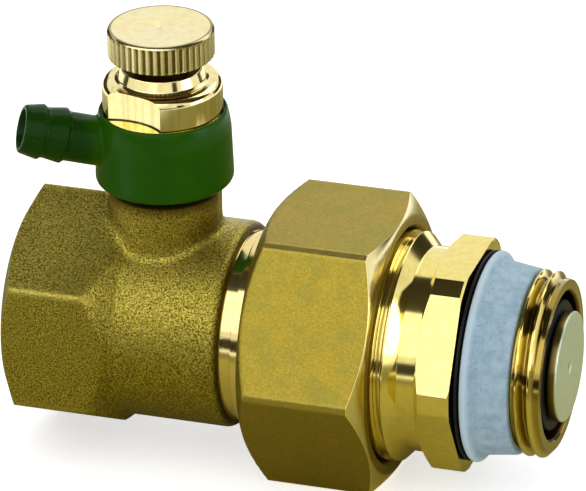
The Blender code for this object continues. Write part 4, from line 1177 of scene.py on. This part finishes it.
def spring_cup():
    start, end = reach("spring_cup", "x")
    wall, floor, outer = 5.6 * MM, start + 1.1 * MM, 6.2 * MM
    section = eased([
        (start, 4 * MM), (start, outer), (end, outer), (end, wall), (floor, wall),
        (floor, STEM_R + GAP), (start, STEM_R + GAP), (start, 4 * MM),
    ], 0.12 * MM)
    return solid("spring_cup_turned", spun(section[:-1], 64), ON_MAIN)


dress(spring_cup(), BRIGHT_MAIN, "poppet", "turned_brass", "spring_cup")


def split_ring(name, node, inner, outer, opening, axis_angle):
    """A snap ring: a square section swept most of the way round."""
    start, end = reach(node, "x")
    bm = bmesh.new()
    steps = 96
    rings = []
    for k in range(steps + 1):
        angle = axis_angle + opening / 2 + (2 * pi - opening) * k / steps
        corners = [(inner, start), (outer, start), (outer, end), (inner, end)]
        rings.append([bm.verts.new((r * cos(angle), r * sin(angle), x)) for r, x in corners])
    ring_faces(bm, rings)
    bm.faces.new(rings[0])
    bm.faces.new(rings[-1])
    ring = solid(name, bm, ON_MAIN)
    bevel = ring.modifiers.new("edges", "BEVEL")
    bevel.width = 0.08 * MM
    bevel.segments = 2
    return settled(ring)


snap_r = (reach("nut_snap_ring", "y")[1] - reach("nut_snap_ring", "y")[0]) / 2
snap = split_ring("snap_ring", "nut_snap_ring", RELIEF_R - 0.1 * MM, snap_r, radians(24), 0.0)
dress(snap, STEEL, "body", "spring_steel", "nut_snap_ring")
clip = split_ring("stem_circlip", "stem_clip", 2.2 * MM, 4.0 * MM, radians(70), 0.0)
dress(clip, STEEL, "poppet", "spring_steel", "stem_clip")


# %% The two spiders
def spider(name, start, end, outer, rim, hub, finish):
    ring = eased([
        (start, outer - rim / 2), (start, outer), (end, outer), (end, outer - rim),
        (start, outer - rim), (start, outer - rim / 2),
    ], 0.15 * MM)
    piece = solid(name, spun(ring[:-1], 96), Matrix.Identity(4))
    core = solid("hub", spun(hub, 48), Matrix.Identity(4))
    SPIDER.run_on(
        piece, finish, Arms=3, Inner_Radius=hub[1][1] * 0.85, Outer_Radius=outer - rim / 2,
        Width=2.2 * MM, Start=start + 0.15 * (end - start), End=end - 0.15 * (end - start),
    )
    combine(piece, core, "UNION")
    piece.data.transform(ON_MAIN)
    return piece


push_start, push_end = reach("push_spider", "x")
ring_end = SPIGOT_END - GAP
pusher_hub = eased([
    (push_start, 0.0), (push_start, 2.6 * MM), (ring_end, 2.6 * MM),
    (ring_end + 1.4 * MM, 1.6 * MM), (push_end, 1.6 * MM), (push_end, 0.0),
], 0.3 * MM)
pusher = spider("pusher", push_start, ring_end, 10.2 * MM, 1.6 * MM, pusher_hub, BRIGHT_MAIN)
dress(pusher, BRIGHT_MAIN, "body", "turned_brass", "push_spider")

guide_start, guide_end = reach("stem_guide", "x")
flange = guide_start + 1.05 * MM
guide_hub = eased([
    (guide_start, 4.0 * MM), (guide_start, 5.3 * MM), (flange, 5.3 * MM),
    (flange + 0.3 * MM, 4.2 * MM), (guide_end, 4.2 * MM), (guide_end, STEM_R + GAP),
    (guide_start, STEM_R + GAP), (guide_start, 4.0 * MM),
], 0.15 * MM)[:-1]
guide = spider("guide_spider", guide_start, guide_end, 9.2 * MM, 1.5 * MM, guide_hub, BRIGHT_MAIN)
dress(guide, BRIGHT_MAIN, "nipple", "turned_brass", "stem_guide")
gasket = plain_ring("union_gasket_ring", "union_gasket", 10.8 * MM, 14.2 * MM, "x", ON_MAIN)
dress(gasket, gasket_fibre(), "body", "gasket_fibre", "union_gasket")

# %% [markdown]
# ## The drain's hollow bolt
#
# A small hollow bolt screws into the neck and clamps the collar down. Its
# head is round with a broken rim, two milled flats above a round foot take the
# spanner, and a low cone-sided boss carries the screw's thread. Below the
# head the shank has a waist with four cross holes, where the water leaves for
# the hose.

# %% Turning the bolt
HEAD_R = 8.54 * MM
HEAD_TOP = MAIN_Z + 37.5 * MM
HEAD_TURN = radians(-14.3)
BOSS_R = 6.15 * MM
SHANK_R = 5.3 * MM
COLLAR_TOP = MAIN_Z + 32.9 * MM


def drain_bolt():
    rim = 1.2 * MM
    head = [(HEAD_BOTTOM, 0.0), (HEAD_BOTTOM, HEAD_R - 0.25 * MM), (HEAD_BOTTOM + 0.25 * MM, HEAD_R)]
    head += arc((HEAD_TOP - rim, HEAD_R - rim), rim, 90.0, 0.0)
    head += eased([
        (HEAD_TOP, HEAD_R - rim), (HEAD_TOP, BOSS_R + 0.5 * MM), (HEAD_TOP + 0.35 * MM, BOSS_R + 0.1 * MM),
        (BOSS_TOP, BOSS_R - 0.45 * MM), (BOSS_TOP, 0.0),
    ], 0.3 * MM, 5)[1:]
    bolt = solid("drain_bolt", spun(head, 240), ON_DRAIN)
    bar = bmesh.new()
    bmesh.ops.create_cube(bar, size=1.0)
    bmesh.ops.scale(bar, vec=(3 * HEAD_R, HEAD_FLATS, BOSS_TOP - HEAD_BOTTOM + 2 * GAP), verts=bar.verts[:])
    turn = Matrix.Rotation(HEAD_TURN, 4, "Z")
    middle = Matrix.Translation((0, 0, (BOSS_TOP + HEAD_BOTTOM) / 2))
    combine(bolt, solid("flats", bar, ON_DRAIN @ middle @ turn), "INTERSECT")
    rest = max(COLLAR_TOP - 0.75 * MM, HEAD_BOTTOM + 0.1 * MM)
    foot_disc = [(HEAD_BOTTOM, 0.0), (HEAD_BOTTOM, HEAD_R), (rest, HEAD_R), (rest, 0.0)]
    combine(bolt, solid("foot_disc", spun(foot_disc, 240), ON_DRAIN), "UNION")
    foot = reach("drain_body", "z")[0]
    waist_low, waist_high = MAIN_Z + 24.6 * MM, MAIN_Z + 29.6 * MM
    shank = eased([
        (foot, 0.0), (foot, SHANK_R), (waist_low, SHANK_R), (waist_low + 0.7 * MM, 4.6 * MM),
        (waist_high - 0.7 * MM, 4.6 * MM), (waist_high, SHANK_R), (HEAD_BOTTOM + GAP, SHANK_R),
        (HEAD_BOTTOM + GAP, 0.0),
    ], 0.15 * MM)
    combine(bolt, solid("shank", spun(shank, 96), ON_DRAIN), "UNION")
    seat, step = MAIN_Z + 23.5 * MM, MAIN_Z + 30.6 * MM
    bore = [
        (foot - GAP, 0.0), (foot - GAP, 1.8 * MM), (seat, 1.8 * MM), (seat, 3.2 * MM),
        (step, 3.2 * MM), (step, 4.1 * MM), (BOSS_TOP + GAP, 4.1 * MM), (BOSS_TOP + GAP, 0.0),
    ]
    combine(bolt, solid("bolt_bore", spun(bore, 96), ON_DRAIN), "DIFFERENCE")
    for k in range(2):
        hole = [(-SHANK_R, 0.0), (-SHANK_R, 1.0 * MM), (SHANK_R, 1.0 * MM), (SHANK_R, 0.0)]
        turn = Matrix.Rotation((k + 0.5) * pi / 2, 4, "Z") @ Matrix.Rotation(pi / 2, 4, "X")
        place = ON_DRAIN @ Matrix.Translation((0, 0, (waist_low + waist_high) / 2)) @ turn
        combine(bolt, solid("cross_hole", spun(hole, 24), place), "DIFFERENCE")
    return bolt


dress(drain_bolt(), BRIGHT_DRAIN, "body", "turned_brass", "drain_body", crease=26.0)


def o_ring(name, node, finish, body):
    """A round rubber ring as thick as its solid."""
    low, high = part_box(node)
    wire = (high.z - low.z) / 2
    ring_r = (high.y - low.y) / 2 - wire
    section = arc(((low.z + high.z) / 2, ring_r), wire, 0.0, 340.0, 17)
    ring = solid(name, spun(section, 96), ON_DRAIN)
    return dress(ring, finish, body, "black_rubber", node, crease=80.0)


o_ring("foot_ring", "collar_foot_o_ring", RUBBER, "body")
o_ring("head_ring", "collar_head_o_ring", RUBBER, "body")
o_ring("spindle_ring", "spindle_o_ring", RUBBER, "drain_screw")

# %% [markdown]
# ## The green hose collar
#
# The collar is moulded in one shot with its hose tail, so every corner has a
# small radius and the tail grows out of the wall through a fillet. The skin
# is melted together on a finer voxel grid than the forging, and the bores are
# cut afterwards.

# %% Moulding the collar
COLLAR_BOTTOM = MAIN_Z + 22.0 * MM
TAIL_Z = MAIN_Z + 25.9 * MM
TAIL_TURN, TAIL_TILT = radians(26.5), radians(15.0)
TAIL_DIRECTION = Vector((
    -cos(TAIL_TILT) * cos(TAIL_TURN), -cos(TAIL_TILT) * sin(TAIL_TURN), sin(TAIL_TILT),
))
ON_TAIL = Matrix.Translation((DRAIN_X, 0, TAIL_Z)) @ (
    Vector((0, 0, 1)).rotation_difference(TAIL_DIRECTION).to_matrix().to_4x4()
)
TAIL_END = 20.9 * MM


def hose_collar():
    foot = 0.65 * MM
    wall = [(COLLAR_BOTTOM, 0.0)]
    wall += arc((COLLAR_BOTTOM + foot, HOSE_WALL_R - foot), foot, 180.0, 90.0)
    wall += [
        (MAIN_Z + 29.9 * MM, 9.62 * MM), (MAIN_Z + 31.5 * MM, 9.40 * MM),
        (COLLAR_TOP - 0.3 * MM, 9.16 * MM), (COLLAR_TOP, 8.95 * MM), (COLLAR_TOP, 0.0),
    ]
    collar = solid("moulded_collar", spun(wall, 128), ON_DRAIN)
    tail = [
        (5 * MM, 0.0), (5 * MM, 3.53 * MM), (14.4 * MM, 3.53 * MM), (14.8 * MM, 4.0 * MM),
        (17.3 * MM, 3.62 * MM), (17.75 * MM, 3.62 * MM), (18.1 * MM, 4.0 * MM),
        (20.7 * MM, 3.45 * MM), (TAIL_END, 3.25 * MM), (TAIL_END, 0.0),
    ]
    combine(collar, solid("tail", spun(tail, 96), ON_TAIL), "UNION")
    remesh = collar.modifiers.new("skin", "REMESH")
    remesh.mode = "VOXEL"
    remesh.voxel_size = 0.19 * MM
    smooth = collar.modifiers.new("melt", "SMOOTH")
    smooth.factor = 0.5
    smooth.iterations = 4
    settled(collar)
    foot_ring = reach("collar_foot_o_ring", "z")[1] + GAP
    head_ring = reach("collar_head_o_ring", "z")[0] - GAP
    land = SHANK_R + GAP
    inside = [
        (COLLAR_BOTTOM - GAP, 0.0), (COLLAR_BOTTOM - GAP, 8.2 * MM), (foot_ring, 8.2 * MM),
        (foot_ring, land), (MAIN_Z + 24.6 * MM, land), (MAIN_Z + 24.6 * MM, 7.4 * MM),
        (MAIN_Z + 29.6 * MM, 7.4 * MM), (MAIN_Z + 29.6 * MM, land), (head_ring, land),
        (head_ring, 7.55 * MM), (HEAD_BOTTOM - GAP, 7.55 * MM), (HEAD_BOTTOM - GAP, HEAD_R + GAP),
        (COLLAR_TOP + GAP, HEAD_R + GAP), (COLLAR_TOP + GAP, 0.0),
    ]
    combine(collar, solid("collar_inside", spun(inside, 128), ON_DRAIN), "DIFFERENCE")
    bore = [
        (6 * MM, 0.0), (6 * MM, 2.0 * MM), (10.9 * MM, 2.0 * MM), (11.8 * MM, 2.7 * MM),
        (TAIL_END - 0.2 * MM, 2.75 * MM), (TAIL_END + GAP, 3.0 * MM), (TAIL_END + GAP, 0.0),
    ]
    return combine(collar, solid("tail_bore", spun(bore, 64), ON_TAIL), "DIFFERENCE")


dress(hose_collar(), green_plastic(), "collar", "green_plastic", "hose_collar", crease=35.0)

# %% [markdown]
# ## The drain screw
#
# A knurled head lets fingers turn the screw. The knurl is straight, with
# forty-four ribs that end just below a narrow chamfer, because the head was
# faced after rolling. The knurl tree cuts the ribs into the spun head.

# %% Turning and knurling the screw
KNOB_TOP = reach("drain_screw", "z")[1]


def drain_screw(finish):
    chamfer = 0.3 * MM
    knob = [
        (KNOB_UNDER, 0.0), (KNOB_UNDER, KNOB_R - 0.5 * MM),
        (KNOB_UNDER, KNOB_R - 0.2 * MM), (KNOB_UNDER + 0.2 * MM, KNOB_R),
        (KNOB_UNDER + 0.3 * MM, KNOB_R),
        *rows(KNOB_TOP - chamfer - 0.5 * MM, KNOB_TOP - chamfer, KNOB_R, 0.1 * MM),
        (KNOB_TOP - 0.75 * chamfer, KNOB_R - 0.2 * chamfer),
        (KNOB_TOP - 0.5 * chamfer, KNOB_R - 0.4 * chamfer),
        (KNOB_TOP - 0.25 * chamfer, KNOB_R - 0.65 * chamfer),
        (KNOB_TOP, KNOB_R - chamfer), (KNOB_TOP, KNOB_R - 2.2 * chamfer),
        (KNOB_TOP, 0.7 * MM), (KNOB_TOP - 0.12 * MM, 0.4 * MM), (KNOB_TOP - 0.15 * MM, 0.0),
    ]
    screw = solid("knurled_screw", spun(knob, 704), Matrix.Identity(4))
    KNURL.run_on(
        screw, finish, Ribs=44, Rim_Radius=KNOB_R, Depth=0.44 * MM,
        Top=KNOB_TOP - chamfer, Run_Out=0.4 * MM,
    )
    screw.data.transform(ON_DRAIN)
    nose, ring = reach("drain_screw", "z")[0], reach("spindle_o_ring", "z")
    spindle = eased([
        (nose, 0.0), (nose, 2.6 * MM), (MAIN_Z + 30.9 * MM, 2.6 * MM),
        (MAIN_Z + 30.9 * MM, 3.8 * MM), (ring[0] - GAP, 3.8 * MM), (ring[0] - GAP, 2.4 * MM),
        (ring[1] + GAP, 2.4 * MM), (ring[1] + GAP, 3.8 * MM), (KNOB_UNDER + chamfer, 3.8 * MM),
        (KNOB_UNDER + chamfer, 0.0),
    ], 0.12 * MM)
    return combine(screw, solid("spindle", spun(spindle, 96), ON_DRAIN), "UNION")


KNOB_BRASS = turned_brass("knob_brass", "z", tint=(0.94, 0.84, 0.48), shade=(0.86, 0.72, 0.33), gloss=0.14)
dress(drain_screw(KNOB_BRASS), KNOB_BRASS, "drain_screw", "turned_brass", "drain_screw", crease=28.0)

# %% [markdown]
# ## The washer that shuts the drain
#
# Deep in the bolt a rubber disc closes the drain's seat. It sits under a
# small holder that doesn't turn with the screw, so the rubber isn't worn.

# %% Washer and holder
def seat_washer():
    low, high = reach("drain_washer", "z")
    outline = eased([(low, 0.0), (low, 2.7 * MM), (high, 2.7 * MM), (high, 0.0)], 0.2 * MM)
    return solid("seat_washer", spun(outline, 48), ON_DRAIN)


def seat_holder():
    low, high = reach("washer_holder", "z")
    outline = eased([
        (low, 0.0), (low, 2.7 * MM), (low + 0.8 * MM, 2.7 * MM), (low + 1.2 * MM, 1.56 * MM),
        (high, 1.56 * MM), (high, 0.0),
    ], 0.12 * MM)
    return solid("seat_holder", spun(outline, 48), ON_DRAIN)


dress(seat_washer(), RUBBER, "drain_seal", "black_rubber", "drain_washer")
dress(seat_holder(), BRIGHT_DRAIN, "drain_seal", "turned_brass", "washer_holder")

# %% [markdown]
# ## The studio
#
# The valve stands on a white floor in a white tent. Polished brass shows
# nothing but what surrounds it, so the tent's dark parts matter as much as
# its light: a long card above the valve, a low one in front, and curved
# screens at the sides and behind. A warm oval on the ground, which only metal
# reflects, is a painted shadow with a painted warm bounce: it stands for the
# valve's shade on the floor round it and gives the lower sides their olive
# tone. The camera sees none of them, and the floor takes the valve's soft
# shadow.

# %% Camera
CAMERA_AZIMUTH = radians(18.135)
CAMERA_ELEVATION = radians(26.696)
CAMERA_ROLL = radians(-1.093)
CAMERA_DISTANCE = 0.7897
CAMERA_LENS = 337.7
AXES_CROSSING = Vector((DRAIN_X, 0.0, MAIN_Z))
CROSSING_RIGHT, CROSSING_UP = -17.768 * MM, -9.806 * MM


def place_camera():
    """Stand the camera where the axes' crossing falls on its place in the frame."""
    back = Vector((
        sin(CAMERA_AZIMUTH) * cos(CAMERA_ELEVATION),
        -cos(CAMERA_AZIMUTH) * cos(CAMERA_ELEVATION),
        sin(CAMERA_ELEVATION),
    ))
    level = Vector((cos(CAMERA_AZIMUTH), sin(CAMERA_AZIMUTH), 0.0))
    upright = back.cross(level)
    right = cos(CAMERA_ROLL) * level + sin(CAMERA_ROLL) * upright
    up = cos(CAMERA_ROLL) * upright - sin(CAMERA_ROLL) * level
    aim = AXES_CROSSING - CROSSING_RIGHT * right - CROSSING_UP * up
    camera = bpy.data.objects.new("camera", bpy.data.cameras.new("camera"))
    camera.data.lens = CAMERA_LENS
    camera.data.sensor_width = 36.0
    camera.data.clip_start, camera.data.clip_end = 0.01, 20.0
    turn = Matrix((right, up, back)).transposed()
    camera.matrix_world = Matrix.Translation(aim + CAMERA_DISTANCE * back) @ turn.to_4x4()
    bpy.context.scene.collection.objects.link(camera)
    bpy.context.scene.camera = camera
    print("camera at", [round(v, 3) for v in camera.location])


place_camera()


# %% World, floor and cards
def seen_rays(graph):
    """1 for what the camera sees directly, in metal or through glass, else 0."""
    paths = graph.tree.nodes.new("ShaderNodeLightPath")
    names = ("Is Camera Ray", "Is Glossy Ray", "Is Transmission Ray")
    camera, glossy, through = [Wire(graph, paths.outputs[name]) for name in names]
    return graph.maths("MAXIMUM", camera, graph.maths("MAXIMUM", glossy, through))


def white_world(level):
    """A world that lights at a plain level and looks white where it is seen."""
    world = bpy.data.worlds.new("tent")
    bpy.context.scene.world = world
    world.use_nodes = True
    graph = Graph(world.node_tree)
    background = world.node_tree.nodes["Background"]
    background.inputs["Color"].default_value = (1.0, 1.0, 1.0, 1.0)
    graph.plug(background.inputs["Strength"], seen_rays(graph) * (1.0 - level) + level)


def floor(side, glow):
    """A pale floor with enough glow to look white where no shadow falls."""
    bm = bmesh.new()
    bmesh.ops.create_grid(bm, x_segments=1, y_segments=1, size=side / 2)
    made = solid("floor", bm, Matrix.Identity(4))
    finish = Finish("floor_paint")
    shown = finish.mix(seen_rays(finish), (0.0, 0.0, 0.0), (glow, glow, glow))
    finish.set(
        Base_Color=(0.90, 0.90, 0.90, 1.0), Roughness=0.8,
        Emission_Color=shown, Emission_Strength=1.0,
    )
    made.data.materials.append(finish.material)


def reflected_only(made, finish):
    """Stage a card that metal reflects and the camera doesn't see."""
    made.data.materials.append(finish.material)
    made.visible_camera = False
    made.visible_shadow = False
    made.visible_diffuse = False


CLOTH = (0.03, 0.027, 0.015, 1.0)


def card(name, centre, width, height, facing):
    """A plain black card."""
    bm = bmesh.new()
    bmesh.ops.create_grid(bm, x_segments=1, y_segments=1, size=0.5)
    bmesh.ops.scale(bm, vec=(width, height, 1.0), verts=bm.verts[:])
    turn = Vector(facing).to_track_quat("Z", "Y").to_matrix().to_4x4()
    finish = Finish(name + "_cloth")
    finish.set(Base_Color=CLOTH, Roughness=1.0)
    reflected_only(solid(name, bm, Matrix.Translation(centre) @ turn), finish)


def horizon_card(az_low, az_high, el_low, el_high, distance):
    """A dark curved screen that stands round the valve between two azimuths."""
    bm = bmesh.new()
    count = 12
    lower, upper = [], []
    for k in range(count + 1):
        azimuth = az_low + (az_high - az_low) * k / count
        lower.append(bm.verts.new(around(azimuth, el_low, distance)))
        upper.append(bm.verts.new(around(azimuth, el_high, distance)))
    for k in range(count):
        bm.faces.new((lower[k], lower[k + 1], upper[k + 1], upper[k]))
    name = f"screen_{az_low % 360:03d}_{round(el_high)}"
    finish = Finish(name + "_cloth")
    finish.set(Base_Color=CLOTH, Roughness=1.0)
    reflected_only(solid(name, bm, Matrix.Identity(4)), finish)


WINDOW = (-100.0 * MM, -80.0 * MM)
WINDOW_R = 20.0 * MM
NEAR_GROUND, FAR_GROUND = 70.0 * MM, 100.0 * MM


def ground_card(centre, across, deep, near, far, soft):
    """A warm oval of painted floor shadow and bounce, darker farther out, with a white window that the
    bolt's flat reflects.
    """
    bm = bmesh.new()
    bmesh.ops.create_grid(bm, x_segments=1, y_segments=1, size=1.0)
    bmesh.ops.scale(bm, vec=(across, deep, 1.0), verts=bm.verts[:])
    finish = Finish("ground_cloth")
    x, y, z = finish.split(finish.mm)
    along = (x - centre[0] / MM) / (across / MM)
    aside = (y - centre[1] / MM) / (deep / MM)
    away = finish.maths("SQRT", along ** 2 + aside ** 2)
    outwards = finish.maths("SQRT", x ** 2 + y ** 2)
    from_window = finish.maths("SQRT", (x - WINDOW[0] / MM) ** 2 + (y - WINDOW[1] / MM) ** 2)
    window = finish.step(from_window, WINDOW_R / MM, 1.5 * WINDOW_R / MM)
    shown = (1 - finish.step(away, 1 - soft, 1.0)) * window
    cloth = finish.mix(finish.step(outwards, NEAR_GROUND / MM, FAR_GROUND / MM), near, far)
    finish.set(Base_Color=cloth, Roughness=1.0, Alpha=shown)
    reflected_only(solid("ground_card", bm, Matrix.Translation((*centre, GAP))), finish)


def lamp(name, place, size, power):
    """A square soft light that points at the valve."""
    light = bpy.data.lights.new(name, "AREA")
    light.shape = "SQUARE"
    light.size = size
    light.energy = power
    made = bpy.data.objects.new(name, light)
    made.location = place
    made.rotation_euler = (Vector(place) - AXES_CROSSING).to_track_quat("Z", "Y").to_euler()
    bpy.context.scene.collection.objects.link(made)


def around(azimuth, elevation, distance):
    """A place round the valve, by azimuth from the front (-Y) towards +X."""
    a, e = radians(azimuth), radians(elevation)
    away = Vector((sin(a) * cos(e), -cos(a) * cos(e), sin(e)))
    return AXES_CROSSING + distance * away


def overhead_card(low, high, distance, length):
    """A long card parallel to the main axis, between two elevations."""
    middle = radians((low + high) / 2)
    away = Vector((0.0, -cos(middle), sin(middle)))
    width = 2 * distance * tan(radians((high - low) / 2))
    card(f"card_{round(low)}", AXES_CROSSING + distance * away, length, width, -away)


white_world(0.5)
floor(6.0, 0.6)
# Painted shadow: a warm oval, seen only in metal, stands for the valve's shade on the floor.
ground_card((20 * MM, -5 * MM), 230 * MM, 180 * MM, (0.54, 0.49, 0.16), (0.29, 0.27, 0.09), 0.35)
horizon_card(-150, -80, 0, 25, 0.6)
horizon_card(45, 58, 0, 25, 0.6)
horizon_card(75, 125, 26, 62, 0.6)
horizon_card(128, 178, -1.5, 19, 0.6)
overhead_card(65.0, 112.0, 0.45, 1.8)
card("card_front", Vector((0.0, -220 * MM, 28 * MM)), 1.8, 52 * MM, (0.0, 1.0, 0.0))
lamp("key", around(-25, 48, 0.9), 1.1, 2.7)
lamp("back", around(160, 50, 1.0), 0.7, 1.8)
lamp("side", around(86, 10, 0.9), 0.4, 1.5)

bpy.context.scene.view_settings.view_transform = "Standard"
